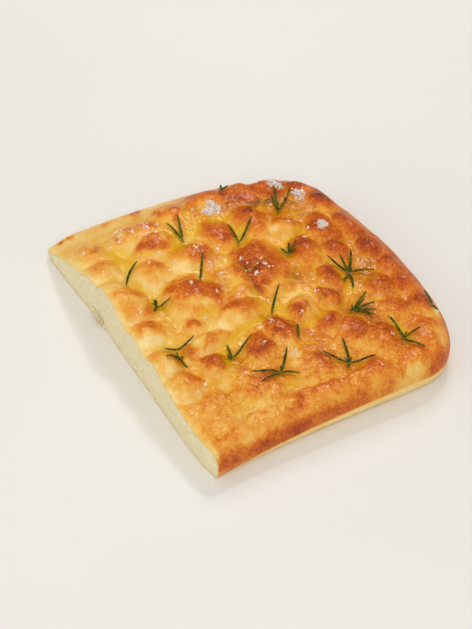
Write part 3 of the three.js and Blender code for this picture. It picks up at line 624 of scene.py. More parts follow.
# The oven's marks, with some painted shade and painted highlights among them. The lists are oval patches.
browningAndPaintedLight = {
    "left": 0.32,  # how far the left side is baked, from 0, dough, to 1, burnt
    "right": 0.475,
    "back": 0.12,  # added towards the back
    "domeTops": 0.03,  # added for each mm that a dome stands up
    "turnedBackBakeAndShade": 0.25,  # added on slopes of the domes that face the back left: partly browning, partly painted shade on the side turned from the light
    "skin": 0.1,  # added for each mm of the skin's own relief
    "rightEdge": 0.33,  # the browner line along the right edge
    "backEdge": 0.1,
    "cutEdge": 0.14,  # taken off along the cut, where the skin is torn and pale
    "contrast": 1.12,
    "darkKnee": (0.58, 0.55),  # above this the baking deepens more slowly
    "markWarp": (7, 3.6),  # the smaller marks are pulled out of round: over what size, how far
    "oilInDimples": 0.5,
    "oilInSeams": 0.35,
    "oilInCreases": 0.5,
    # Wide zones, added before the smaller marks.
    "zones": [
        # The first zone, (-97, 44), darkens the back-left rim: partly browner crust, partly painted shade
        # where the rim turns from the light.
        (-97, 44, 34, 42, 24, -20), (-10, 84, 80, 28, 11), (-60, 10, 30, 24, 10),
        (-90, -20, 24, 18, 10, -20), (-92, -55, 22, 14, 6), (18, -104, 90, 9, -13), (20, -70, 60, 12, -7),
        (112, 14, 14, 24, 7), (78, 36, 18, 20, 8), (118, 88, 18, 16, -10), (-52, 58, 20, 15, 24),
        (-76, 40, 13, 27, 18), (-107, 0, 15, 20, 21, 10), (-46, -5, 21, 10, 11), (5, 37, 32, 10, 17),
        (19, 24, 13, 9, 14), (31, 76, 9, 13, 13), (60, 51, 20, 7, 14), (-73, 18, 8, 9, 11),
        (70, 0, 13, 17, 15), (76, -31, 9, 9, 9), (-73, -23, 8, 7, 18), (31, -38, 9, 8, 8),
        # (-97, 43) on the next row is a painted highlight: a paler spot on the back-left rim where the oil
        # shines.
        (-28, -8, 8, 8, 8), (-73, -54, 8, 6, -9), (-97, 43, 10, 12, -11), (18, -8, 9, 7, 9),
        (16, -68, 8, 6, 8), (3, -9, 32, 10, 22), (-15, -24, 22, 7, 19), (-90, -38, 13, 8, 14),
        (121, -52, 8, 14, 3), (60, -54, 9, 7, 8), (-88, -83, 9, 6, 7), (-43, 81, 9, 7, 8),
        (104, 92, 20, 12, -18, -20), (61, 97, 10, 6, -12), (76, 73, 33, 13, -8), (92, 45, 10, 13, -15),
        (50, 20, 10, 7, -10), (45, -8, 8, 7, -10), (-13, -53, 9, 7, -8), (31, -53, 8, 9, -22),
        (36, -99, 8, 6, -10), (-58, 54, 9, 7, 16), (-44, 72, 9, 9, 12), (61, -68, 8, 6, -7),
        (-31, -87, 20, 11, -32), (-43, -99, 8, 7, -14), (-13, -99, 8, 6, 18), (10, -90, 12, 9, -7),
        (37, -98, 13, 7, -13), (68, -97, 46, 7, -9), (100, -80, 24, 12, -15),
    ],
    "darker": [
        (-65, -48, 12, 5, 36, 68), (-67, -61, 6, 5, 18), (-42, -27, 8, 9, 16), (-36, -18, 8, 6, 16),
        (-44, 1, 9, 4.5, 26, 62), (-83, -20, 5, 3.5, 34), (-68, -29, 5, 5, 22), (-101, -28, 7, 3.5, 24),
        (-124, -34, 11, 4.5, 22, -22), (-86, -3, 11, 5, 20), (-90, -87, 6, 2.5, 20, -30),
        (-90, -68, 8, 3, 14, -8), (-4, -34, 9, 6.5, 28), (12, -33, 10, 8, 16), (-12, -50, 12, 13, 12),
        (-22, -62, 9, 5, 22, -50), (18, -63, 7, 4.5, 30, 20), (0, -79, 7, 3, 20), (38, -61, 3.8, 12, 20, 4),
        (38, -78, 7, 4.5, 26), (-27, -93, 5, 13, 16, -8), (-36, -82, 8, 4, 16), (-13, -84, 9, 3, 16, -45),
        (13, -8, 7, 4.5, 28), (13, 1, 3.5, 4.5, 20), (-8, 10, 24, 18, 10, -6), (-4, 2, 5, 9, 20),
        (1, 8, 5, 5, 14), (-5, -7, 15, 2.5, 24), (-28, 8, 11, 5.5, 14, -25), (40, -14, 7, 7, 18),
        (52, -12, 9, 8, 12), (58, -7, 6, 8, 18), (51, -20, 8, 2.5, 20), (61, -33, 8, 10, 12),
        (62, -40, 6, 4, 14), (57, -66, 9, 6, 18), (53, -74, 8, 3.5, 22), (68, -53, 9, 5, 12),
        (46, 11, 6, 5, 30), (47, 4, 9, 4.5, 20), (47, 39, 5.5, 7.5, 24), (47, 28, 7, 4.5, 20),
        (56, 38, 3.5, 8, 20), (67, 19, 5, 7, 16), (61, 25, 5, 4, 14), (82, 32, 7, 9, 16),
        (17, 24, 8, 5.5, 24), (29, 48, 11, 5.5, 12, -25), (21, 51, 8, 4.5, 10), (-9, 46, 13, 8, 18),
        (-67, 41, 5, 4, 50), (-65, 48, 7, 3, 34, 75), (-62, 35, 8, 3.5, 26, -50), (-44, 87, 11, 6, 30, 20),
        # (-55, 97) on the next row is painted shade along the back-left rim.
        (-55, 97, 15, 6, 30, -30), (-64, 76, 8, 6, 24), (-82, 31, 11, 9, 18), (-96, 28, 10, 3, 28, -25),
        (-106, 60, 16, 18, 24, 30), (4, 90, 9, 3.5, 22, 50), (21, 88, 17, 5.5, 24, 12), (63, 88, 7, 5, 20),
        (85, 92, 8, 4, 4), (103, 101, 10, 5, 10, -38), (7, 68, 15, 10, 12), (-18, 63, 7, 3.5, 22),
        # (75, 53) on the next row is a painted shadow beside a rosemary needle.
        (43, 67, 11, 4.5, 16, 10), (75, 53, 7, 4.5, 18), (89, 57, 11, 5.5, 12), (108, 55, 9, 3, 10, 60),
        (88, 1, 4.5, 4.5, 22), (82, -39, 3, 9, 18, 14), (117, -41, 11, 4, 20, -62), (112, -33, 9, 3.5, 20),
        (113, -102, 12, 4, 10), (95, 6, 7, 7, 6), (-50, 27, 18, 12, 12, -10), (-129, -33, 4, 5, 30),
        (-131, -90, 3, 4, 30), (-131, -98, 3, 3, 30), (-126, -61, 3, 5, 22), (-112, 37, 6, 5, 16),
    ],
    "paler": [
        # (-96, -63) on the next row is a painted highlight.
        (-117, -15, 18, 14, 14), (-96, -63, 11, 3.5, 16, -5), (-76, -38, 7, 5, 16), (-55, -21, 9, 6, 18),
        (-25, -10, 9, 6, 18), (-2, -16, 8, 5, 20), (-32, -46, 9, 9, 20), (5, -50, 6, 10, 24, -20),
        (29, -40, 10, 11, 20), (33, -70, 5, 8, 28), (19, -98, 7, 11, 20), (-45, -101, 12, 7, 18),
        (38, 15, 11, 10, 34, -15), (48, 52, 8, 5, 16), (-30, 44, 9, 7, 20), (-37, 37, 8, 5, 14),
        (76, -15, 11, 5, 20, -20), (104, -58, 22, 16, 10), (-36, -62, 9, 6, 12), (-118, -75, 14, 24, 8),
        (-24, 20, 8, 8, 6), (76, 24, 7, 7, 8), (108, -12, 12, 14, 6), (92, 90, 6, 4, 6),
        (-65, -91, 11, 8, 12), (90, 101, 7, 3, 40, -38), (66, -85, 5, 6, 12), (55, -100, 9, 7, 12),
        (132, 50, 4, 15, 30),
    ],
    # Where the oil stands; below 0 the skin is dry.
    "oiled": [
        (-71, -75, 14, 6, 90), (-54, -35, 10, 6, 80, -20), (-76, -28, 9, 5, 60), (-64, -18, 6, 8, 40),
        (-37, -81, 12, 4, 70, 10), (-12, -75, 12, 5, 70), (41, -34, 3.5, 20, 80, 8),
        (55, -58, 13, 6, 80, -20), (-20, 50, 4, 12, 70, 25), (38, -1, 11, 5, 80), (57, 12, 4.5, 14, 80),
        (-47, 14, 8, 4, 80), (35, -92, 13, 8, 50), (15, -50, 3.5, 9, 60, -15), (20, -12, 13, 5, 60, 10),
        (92, 65, 14, 3.5, 70, 5), (45, 53, 9, 5, 60), (-67, 5, 7, 9, 60), (-8, -22, 16, 4, 40),
        (-48, -93, 5, 10, 50, -20), (7, 53, 8, 3.5, 50), (46, 72, 6, 4, 40), (94, -28, 8, 6, 50, -50),
        (97, -72, 3, 14, 35), (-86, -84, 12, 4, 40, 10), (-40, 60, 6, 4, 50, -60), (-38, 10, 4, 5, 50),
        (-10, 33, 9, 3.5, 40, 10), (-82, 44, 15, 17, -70),
    ],
}


def slopeAlong(x, y, dx, dy):
    return (riseAt(x + dx, y + dy) - riseAt(x - dx, y - dy)) / 2


# The bake worked out here also carries the painted shade and painted highlights marked in the table above.
def bakeAndOil(x, y):
    size, reach = browningAndPaintedLight["markWarp"]
    warpX, warpY = x + reach * fractal(x, y, size, 51.7, 3), y + reach * fractal(x, y, size, 63.1, 3)
    inward, _, shoulder = edgeAt(x, y)
    domeX, domeY = pulled(x, y)
    rise = riseAt(domeX, domeY)
    seams = seamsAt(domeX, domeY)
    bake = mix(browningAndPaintedLight["left"], browningAndPaintedLight["right"], smooth((x + 105) / 190))
    bake = bake + browningAndPaintedLight["back"] * smooth((y - 10) / 90) + browningAndPaintedLight["domeTops"] * np.clip(rise - 3, -3, 4)
    rounded = smooth((60 - shoulder) / 35)
    alongRight = smooth((x - 60) / 50) * mix(1, 0.35, smooth((y + 45) / 70))
    bake += rounded * browningAndPaintedLight["rightEdge"] * np.exp(-((inward - 0.8) / 2.5) ** 2) * alongRight
    bake += rounded * browningAndPaintedLight["backEdge"] * np.exp(-(inward / 14) ** 2) * smooth((y - 30) / 60)
    # Slopes that face the back left are painted darker: painted shade on the side turned from the light, over
    # some real browning.
    backSlopeShade = 0.8 * slopeAlong(domeX, domeY, 1, 0) - 0.5 * slopeAlong(domeX, domeY, 0, 1)
    bake += browningAndPaintedLight["turnedBackBakeAndShade"] * np.clip(backSlopeShade, -0.6, 0.6)
    fine = skinRelief(x, y)
    bake += ovals(x, y, browningAndPaintedLight["zones"])
    bake += ovals(warpX, warpY, browningAndPaintedLight["darker"], 1.9) - ovals(warpX, warpY, browningAndPaintedLight["paler"], 1.9)
    bake += browningAndPaintedLight["skin"] * fine
    bake -= browningAndPaintedLight["cutEdge"] * np.exp(-((y - cutLine(x)) / 3.5) ** 2)
    bake = 0.4 + (bake - 0.4) * browningAndPaintedLight["contrast"]
    knee, slope = browningAndPaintedLight["darkKnee"]
    bake = np.where(bake > knee, knee + (bake - knee) * slope, bake)
    oil = browningAndPaintedLight["oilInDimples"] * smooth((1.8 - rise - fine) / 2.4)
    oil = oil + browningAndPaintedLight["oilInSeams"] * seams + browningAndPaintedLight["oilInCreases"] * creasesAt(x, y)
    oil = oil * smooth((inward - 6) / 16) * (1 - 0.55 * smooth((x - 40) / 50))
    oil = oil + ovals(warpX, warpY, browningAndPaintedLight["oiled"])
    return np.clip(bake, 0, 1), np.clip(oil, 0, 1)


crust = {
    "across": 259,  # the cut's length
    "deep": 218,  # from the cut to the back
    "columns": 296,
    "rows": 232,
    "wallRows": 12,
    "thickness": 0.6,  # of the skin seen in the cut
    "pocketDepth": 3.5,  # how deep the crumb sits behind the cut
    "cutBake": 0.1,
    # Finer cells at the rim, by how far in they end.
    "leftSteps": [0.8, 2.0, 4.0],
    "cutSteps": [0.8, 2.0],
    "turningSteps": [0.25, 0.9, 2.0, 3.5, 5.3, 7.4, 9.7],
}


# How far the side wall is tucked in, from 1 at its foot to 0 at the rim.
def tuckedIn(share):
    return (1 - np.sin(share * np.pi / 2)) ** 1.4


# Four sides of the cut's outline, drawn in by some mm and set back by some mm: foot, top, left, right.
def cutOutline(inset, depth, u, v):
    (left, _), leftWall, _, leftTuck = rim[0]
    (right, _), rightWall, _, rightTuck = rim[-1]
    footX = mix(left + leftTuck + inset, right - rightTuck - inset, u)
    topX = mix(left + inset, right - inset, u)
    foot = points3(footX, cutLine(footX) + depth, inset)
    top = points3(topX, cutLine(topX) + depth, crustHeight(topX, cutLine(topX)) - inset)
    top[0, 2], top[-1, 2] = leftWall - inset * 0.5, rightWall - inset * 0.5
    sides = []
    for x, away, tuck, end in ((left, 1, leftTuck, 0), (right, -1, rightTuck, -1)):
        inwards = away * (tuck * tuckedIn(v) + inset)
        side = points3(x + inwards, loaf["cutY"] + depth, mix(foot[end, 2], top[end, 2], v))
        side[0], side[-1] = foot[end], top[end]
        sides.append(side)
    return foot, top, *sides


def rimLine(t):
    return points3(rimAt(t, "x"), rimAt(t, "y"), rimAt(t, "wall"))


def buildCrust():
    u = gradedStops(crust["across"], crust["leftSteps"], crust["turningSteps"], crust["columns"])
    v = gradedStops(crust["deep"], crust["cutSteps"], crust["turningSteps"], crust["rows"])
    wallV = np.linspace(0, 1, crust["wallRows"] + 1)
    foot, cutTop, leftSide, rightSide = cutOutline(0, 0, u, wallV)
    leftT, backT = loaf["leftEnd"] * v, mix(loaf["leftEnd"], loaf["rightStart"], u)
    rightT = mix(1, loaf["rightStart"], v)
    top = filledPatch(cutTop, rimLine(backT), rimLine(leftT), rimLine(rightT), u, v)
    inner = top[1:-1, 1:-1]
    inner[..., 2] = crustHeight(inner[..., 0], inner[..., 1])
    bake, oil = bakeAndOil(top[..., 0], top[..., 1])

    # The side wall, tucked in towards the base.
    loopT = np.concatenate([leftT, backT[1:], rightT[::-1][1:]])
    x, y, wall, tuck = (rimAt(loopT, key) for key in ("x", "y", "wall", "tuck"))
    alongX, alongY = np.gradient(x), np.gradient(y)
    length = np.hypot(alongX, alongY)
    inX, inY = alongY / length, -alongX / length
    inX[0], inY[0], inX[-1], inY[-1] = 1, 0, -1, 0
    share = wallV[:, None]
    inset = tuck * tuckedIn(share)
    side = points3(x + inX * inset, y + inY * inset, wall * share)
    side[:, 0], side[:, -1] = leftSide, rightSide
    side[-1, :] = np.concatenate([top[:, 0], top[-1, 1:], top[::-1, -1][1:]])
    topBake = np.concatenate([bake[:, 0], bake[-1, 1:], bake[::-1, -1][1:]])
    blendIn = smooth((share - wallLook["blendFrom"]) / (1 - wallLook["blendFrom"]))
    sideBake = mix(wallMarks(loopT, share, side[..., 2]), topBake, blendIn)

    patches = [{"points": top, "bake": bake, "oil": oil, "crumpled": crumpledAt(top[..., 0], top[..., 1])},
               {"points": side[:, ::-1], "bake": sideBake[:, ::-1]}]

    # The cut: a thin band of skin round a pocket that holds the crumb.
    thickness, depth, cutBake = crust["thickness"], crust["pocketDepth"], crust["cutBake"]
    ring = cutOutline(thickness, 0, u, wallV)
    deep = cutOutline(thickness, depth, u, wallV)
    for low, high in ((foot, ring[0]), (ring[1], cutTop), (ring[0], deep[0]), (deep[1], ring[1])):
        patches.append({"points": np.stack([low, high]), "bake": cutBake})
    for near, far in ((leftSide, ring[2]), (ring[3], rightSide), (ring[2], deep[2]), (deep[3], ring[3])):
        patches.append({"points": np.stack([near, far], axis=1), "bake": cutBake})
    patches.append({"points": filledPatch(*deep, u, wallV), "bake": cutBake})
    base = np.concatenate([foot[:-1], side[0][::-1][:-1]])
    piece = joinPatches("crust", patches, ("bake", "oil", "crumpled"), [base[::-1]])
    shadeSmooth(piece, 62)
    piece.data.materials.append(crustMaterial)
    report(piece)
    return piece


# Baking of the side wall, from 0 to 1. Places run along the rim from the left of the cut to the right.
wallLook = {
    # Top of the pale band where the dough lay against its neighbour: place, share of the wall's height.
    "bandTop": [(0.62, 0), (0.66, 0.6), (0.70, 1.25), (0.75, 1.3), (0.80, 1.0), (0.88, 0.85), (0.97, 0.5),
                (1.0, 0.2)],
    "bandBake": 0.04,
    "aboveBand": 0.42,
    "line": [(0.66, 0), (0.74, 0.06), (0.84, 0.16), (0.95, 0.22), (1.0, 0.1)],  # browner line above the band
    "footLine": 0.16,
    "blendFrom": 0.8,  # the top's baking runs down to here
}


def wallMarks(t, share, z):
    t = np.broadcast_to(t, z.shape)
    share = np.broadcast_to(share, z.shape)
    drift = fractal(t * 900, z * 2.0, 26, 77.2, 3)
    leftBake = 0.16 + 0.10 * share + 0.10 * drift
    backBake = mix(0.30, 0.66, smooth((share - 0.25) / 0.6)) + 0.14 * drift
    above = share - np.interp(t, *zip(*wallLook["bandTop"])) - 0.14 * drift
    rightBake = mix(wallLook["bandBake"], wallLook["aboveBand"], smooth(above / 0.16))
    rightBake += np.interp(t, *zip(*wallLook["line"])) * np.exp(-((above - 0.24) / 0.16) ** 2)
    rightBake += wallLook["footLine"] * np.exp(-(share / 0.1) ** 2) + 0.10 * drift
    bake = mix(leftBake, backBake, smooth((t - 0.2) / 0.14))
    bake = mix(bake, rightBake, smooth((t - 0.66) / 0.06))
    return np.clip(bake, 0, 1)


crustPiece = buildCrust()
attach(crustPiece, "root")
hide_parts("focaccia")
print("crust made")

crumb = {
    "columns": 500,
    "rows": 84,
    "overlap": 0.1,  # how far it bites into the skin around it
    "proud": 0.1,
    "depth": 3.2,
    "setBack": 0.25,
    "edgeFade": 1.6,  # pores die out this close to the skin
    "tintReach": 1.3,  # the crumb is browner this close to the skin
    # Size, depth, threshold, seed.
    "pores": [(6.5, 0.35, 0.34, 13.3), (3.2, 0.4, 0.28, 27.1), (1.7, 0.35, 0.25, 41.9)],
    "drag": 0.2,  # long soft waves left by the knife
}


def buildCrumb():
    inset = crust["thickness"] - crumb["overlap"]
    u, v = np.linspace(0, 1, crumb["columns"] + 1), np.linspace(0, 1, crumb["rows"] + 1)
    front = cutOutline(inset, -crumb["proud"], u, v)
    back = cutOutline(inset, crumb["depth"], u, v)
    face = filledPatch(*front, u, v)
    x, z = face[..., 0], face[..., 2]
    up, down = face[-1:, :, 2] - z, z - face[:1, :, 2]
    fromEdge = np.minimum(np.minimum(up, down), np.minimum(x - face[:, :1, 0], face[:, -1:, 0] - x))
    inside = smooth(fromEdge / crumb["edgeFade"])
    poreDepthAndShade = np.zeros_like(x)
    for size, depth, threshold, seed in crumb["pores"]:
        poreDepthAndShade += depth * smooth((fractal(x, z * 1.25, size, seed, 2) - threshold * 0.6) / 0.35)
    drag = crumb["drag"] * fractal(x * 0.6, z, 14, 4.4, 2)
    face[..., 1] += inside * (poreDepthAndShade + drag + crumb["setBack"])
    nearCrust = np.exp(-(np.maximum(fromEdge, 0) / crumb["tintReach"]) ** 2)
    # The pore depth also goes on the face as the mask for painted shade in the holes.
    patches = [{"points": face, "poreDepthAndShade": np.clip(poreDepthAndShade / 1.3, 0, 1), "nearCrust": nearCrust},
               {"points": np.stack([back[0], face[0]])},
               {"points": np.stack([face[-1], back[1]])},
               {"points": np.stack([back[2], face[:, 0]], axis=1)},
               {"points": np.stack([face[:, -1], back[3]], axis=1)},
               {"points": filledPatch(*back, u, v)[:, ::-1]}]
    piece = joinPatches("crumb", patches, ("poreDepthAndShade", "nearCrust"))
    shadeSmooth(piece, 60)
    piece.data.materials.append(crumbMaterial)
    report(piece)
    return piece


crumbPiece = buildCrumb()
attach(crumbPiece, "root")
print("crumb made")


# The seeded draw that also laid the flakes on the CAD part.
def seededDraw(seed):
    state = seed
    while True:
        state = (state * 1664525 + 1013904223) % 4294967296
        yield state / 4294967296


# Rosemary: place, then each needle's heading in degrees, length, sideways bend in degrees, tip lift.
sprigs = [
    (32, 62.5, [(143, 20, 12, 1), (49, 19, -38, 4), (202, 20.5, -22, 2), (335, 18, -20, 1), (185, 13, 10, 5),
                (305, 12, 0, 0)]),
    (62.5, 45, [(113, 19, 6, 1), (68, 17, 0, 4), (52, 18, 8, 2), (38, 17, 6, 1), (88, 10, 0, 5)]),
    (102.5, 62, [(181, 20, 26, 1), (72, 13, 14, 4), (18, 20, 4, 1)]),
    (102.5, 15, [(66, 20, -8, 3), (162, 21, 16, 1), (215, 22, -22, 1), (315, 5, 0, 1)]),
    (84.5, -31, [(136, 20, 8, 2), (34, 14, -20, 3), (243, 22, 4, 1), (280, 20, 0, 1)]),
    (38, -10, [(133, 24, -16, 4)]),
    (67, -5, [(154, 11, 6, 1)]),
    (-7.5, 34.5, [(95, 7, 0, 3), (150, 6, 0, 2), (35, 6, 0, 2), (215, 7, 0, 1)]),
    (-51, 53, [(159, 22, 4, 1), (122, 21, 14, 3), (172, 15, 0, 1)]),
    (-37, 8, [(121, 22, 18, 2), (180, 17, 4, 1)]),
    (-16.5, -38, [(144, 24, -4, 4)]),
    (-61.5, -27, [(160, 24, 6, 3), (188, 21, 22, 1)]),
    (-43, -86, [(129, 24, -34, 2)]),
    (-13, -77, [(52, 11, 0, 4), (318, 10, 6, 1), (172, 6, 0, 1)]),
    (26.5, -93.5, [(82, 25, 70, 2)]),
    (56.5, -55, [(107, 22, 14, 3), (170, 11, 6, 1), (215, 4, 0, 1)]),
    (-95, 27, [(148, 7, 0, 3), (62, 6, 0, 1)]),
    (90, 97, [(168, 15, 6, 1), (40, 5, 0, 1)]),
    (41.5, -91, [(119, 8, 8, 0), (20, 10, 6, 2), (267, 9, 20, 1)]),
]
rosemary = {
    "needleWidth": 1.9,
    "needleThickness": 1.0,
    "clearance": 0.35,  # air left under a needle
    "steps": 28,
    "easing": 3,  # a needle bridges dips over this many steps to each side
    "shape": [(0, 0.45), (0.1, 0.8), (0.3, 1.0), (0.6, 0.95), (0.84, 0.72), (0.95, 0.42), (1, 0.05)],
    "groove": 0.28,  # depth of the groove along the leaf, as a share of its half width
    "profilePoints": 12,
    "stemRadius": 0.85,
    "stemLength": 3.2,
    "budLeaves": 3,  # small young leaves in the heart of a sprig
    "budLength": (3.5, 6.0),
    "budRise": (0.35, 0.85),  # in radians
    "budWidth": 0.62,  # as a share of a needle's
}


def newTree(name, inputs):
    tree = bpy.data.node_groups.new(name, "GeometryNodeTree")
    tree.interface.new_socket("Geometry", in_out="INPUT", socket_type="NodeSocketGeometry")
    for label, kind in inputs:
        tree.interface.new_socket(label, in_out="INPUT", socket_type=kind)
    tree.interface.new_socket("Geometry", in_out="OUTPUT", socket_type="NodeSocketGeometry")
    return tree, tree.nodes.new("NodeGroupInput").outputs


# Ends a tree with plain geometry in its material.
def endTree(tree, geometry, material):
    real = addNode(tree, "GeometryNodeRealizeInstances", None, Geometry=geometry).outputs["Geometry"]
    dressed = addNode(tree, "GeometryNodeSetMaterial", None, Geometry=real, Material=material)
    addNode(tree, "NodeGroupOutput", None, Geometry=dressed.outputs["Geometry"])
    return tree


# Runs a tree on a piece's mesh and leaves the result as a plain mesh.
def growMesh(name, mesh, tree, values):
    seedling = addPiece(name, mesh)
    modifier = seedling.modifiers.new(tree.name, "NODES")
    modifier.node_group = tree
    for item in tree.interface.items_tree:
        if item.in_out == "INPUT" and item.name in values:
            modifier[item.identifier] = values[item.name]
    evaluated = seedling.evaluated_get(bpy.context.evaluated_depsgraph_get())
    grown = bpy.data.meshes.new_from_object(evaluated)
    grown.name = name
    bpy.data.objects.remove(seedling)
    return addPiece(name, grown)


# Sweeps a leaf's grooved section along every needle.
def makeLeafTree():
    tree, given = newTree("needleSweep", [("Half Width", "NodeSocketFloat"), ("Flatness", "NodeSocketFloat"),
                                          ("Groove", "NodeSocketFloat"), ("Profile Points", "NodeSocketInt"),
                                          ("Material", "NodeSocketMaterial")])
    curve = addNode(tree, "GeometryNodeMeshToCurve", None, Mesh=given["Geometry"])
    upright = addNode(tree, "GeometryNodeSetCurveNormal", {"mode": "Z_UP"}, Curve=curve.outputs["Curve"])
    ring = addNode(tree, "GeometryNodeCurvePrimitiveCircle", None, Resolution=given["Profile Points"], _4=1.0)
    ringPlace = addNode(tree, "GeometryNodeInputPosition").outputs[0]
    spot = addNode(tree, "ShaderNodeSeparateXYZ", None, Vector=ringPlace)
    x, y = spot.outputs["X"], spot.outputs["Y"]
    middle = minus(tree, 1.0, times(tree, mathNode(tree, "ABSOLUTE", x), 1.6), clamp=True)
    above = mathNode(tree, "GREATER_THAN", y, 0.01)
    dent = times(tree, times(tree, middle, above), given["Groove"])
    flat = minus(tree, times(tree, y, given["Flatness"]), dent)
    section = addNode(tree, "ShaderNodeCombineXYZ", None, X=x, Y=flat).outputs[0]
    shaped = addNode(tree, "GeometryNodeSetPosition", None, Geometry=ring.outputs["Curve"], Position=section)
    width = addNode(tree, "GeometryNodeInputNamedAttribute", {"data_type": "FLOAT"}, Name="width")
    scale = times(tree, width.outputs["Attribute"], given["Half Width"])
    swept = addNode(tree, "GeometryNodeCurveToMesh", None, Curve=upright.outputs["Curve"],
                    Profile_Curve=shaped.outputs["Geometry"], Scale=scale, Fill_Caps=True)
    soft = addNode(tree, "GeometryNodeSetShadeSmooth", None, Geometry=swept.outputs["Mesh"])
    return endTree(tree, soft.outputs["Geometry"], given["Material"])


# The line of one needle over the crust, in mm, and how far along it each point is.
def needleLine(x, y, heading, length, bend, lift):
    share = np.linspace(0, 1, rosemary["steps"] + 1)
    angle = np.radians(heading + bend * (share - 0.5))
    step = length / rosemary["steps"]
    px = x + np.append(0, np.cumsum(np.cos(angle[:-1]))) * step
    py = y + np.append(0, np.cumsum(np.sin(angle[:-1]))) * step
    half = rosemary["needleWidth"] / 2
    under = [crustHeight(px + side * np.sin(angle), py - side * np.cos(angle)) for side in (-half, 0, half)]
    ground = np.max(under, axis=0)
    reach = rosemary["easing"]
    held = np.array([ground[max(0, i - reach):i + reach + 1].max() for i in range(len(ground))])
    window = 2 * reach + 1
    eased = np.convolve(np.pad(held, reach, mode="edge"), np.ones(window) / window, "valid")
    middle = rosemary["clearance"] + rosemary["needleThickness"] / 2 + lift * share ** 1.6
    return np.stack([px, py, np.maximum(eased, ground) + middle], axis=1), share


def buildSprig(number, x, y, needles):
    draw = seededDraw(500 + number)
    lines, widths, alongs = [], [], []

    def addLine(line, width, along):
        lines.append(line)
        widths.append(width)
        alongs.append(along)

    drawn = [needleLine(x, y, *needle) for needle in needles]
    heart = max(line[0, 2] for line, _ in drawn)
    for line, share in drawn:
        line[:, 2] += (heart - line[0, 2]) * np.exp(-(share / 0.12) ** 2)
        addLine(line, np.interp(share, *zip(*rosemary["shape"])), share)
    for _ in range(rosemary["budLeaves"] if len(needles) > 2 else 0):
        turn, rise = next(draw) * 2 * math.pi, mix(*rosemary["budRise"], next(draw))
        share = np.linspace(0, 1, 9)
        reach = share * mix(*rosemary["budLength"], next(draw))
        flat, up = reach * math.cos(rise), 0.2 + reach * math.sin(rise)
        line = points3(x + flat * math.cos(turn), y + flat * math.sin(turn), heart + up)
        addLine(line, np.interp(share, *zip(*rosemary["shape"])) * rosemary["budWidth"], 0.15 + 0.5 * share)
    if len(needles) > 1:
        away = math.radians(np.mean([needle[0] for needle in needles[:2]]) + 180)
        share = np.linspace(0, 1, 7)
        reach = rosemary["stemLength"] * (share - 0.35)
        stem = rosemary["stemRadius"] / (rosemary["needleWidth"] / 2)
        line = points3(x + reach * math.cos(away), y + reach * math.sin(away), heart)
        addLine(line, np.interp(share, [0, 0.2, 0.8, 1], [0.5, 1, 0.9, 0.6]) * stem, np.zeros(len(share)))
    corners, edges = [], []
    for line in lines:
        edges += [(len(corners) + i, len(corners) + i + 1) for i in range(len(line) - 1)]
        corners += toFrame(line).tolist()
    mesh = bpy.data.meshes.new("sprig")
    mesh.from_pydata(corners, edges, [])
    addPointValues(mesh, "width", np.concatenate(widths))
    addPointValues(mesh, "along", np.concatenate(alongs))
    piece = growMesh(f"rosemary_sprig_{number:02d}", mesh, leafTree, {
        "Half Width": rosemary["needleWidth"] / 2000,
        "Flatness": rosemary["needleThickness"] / rosemary["needleWidth"],
        "Groove": rosemary["groove"],
        "Profile Points": rosemary["profilePoints"],
        "Material": rosemaryMaterial,
    })
    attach(piece, "root")
    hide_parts(f"rosemary_{number:02d}")
    return piece


leafTree = makeLeafTree()
sprigPieces = [buildSprig(number + 1, *sprig) for number, sprig in enumerate(sprigs)]
report(sprigPieces[0])
print("rosemary laid:", len(sprigPieces), "sprigs")

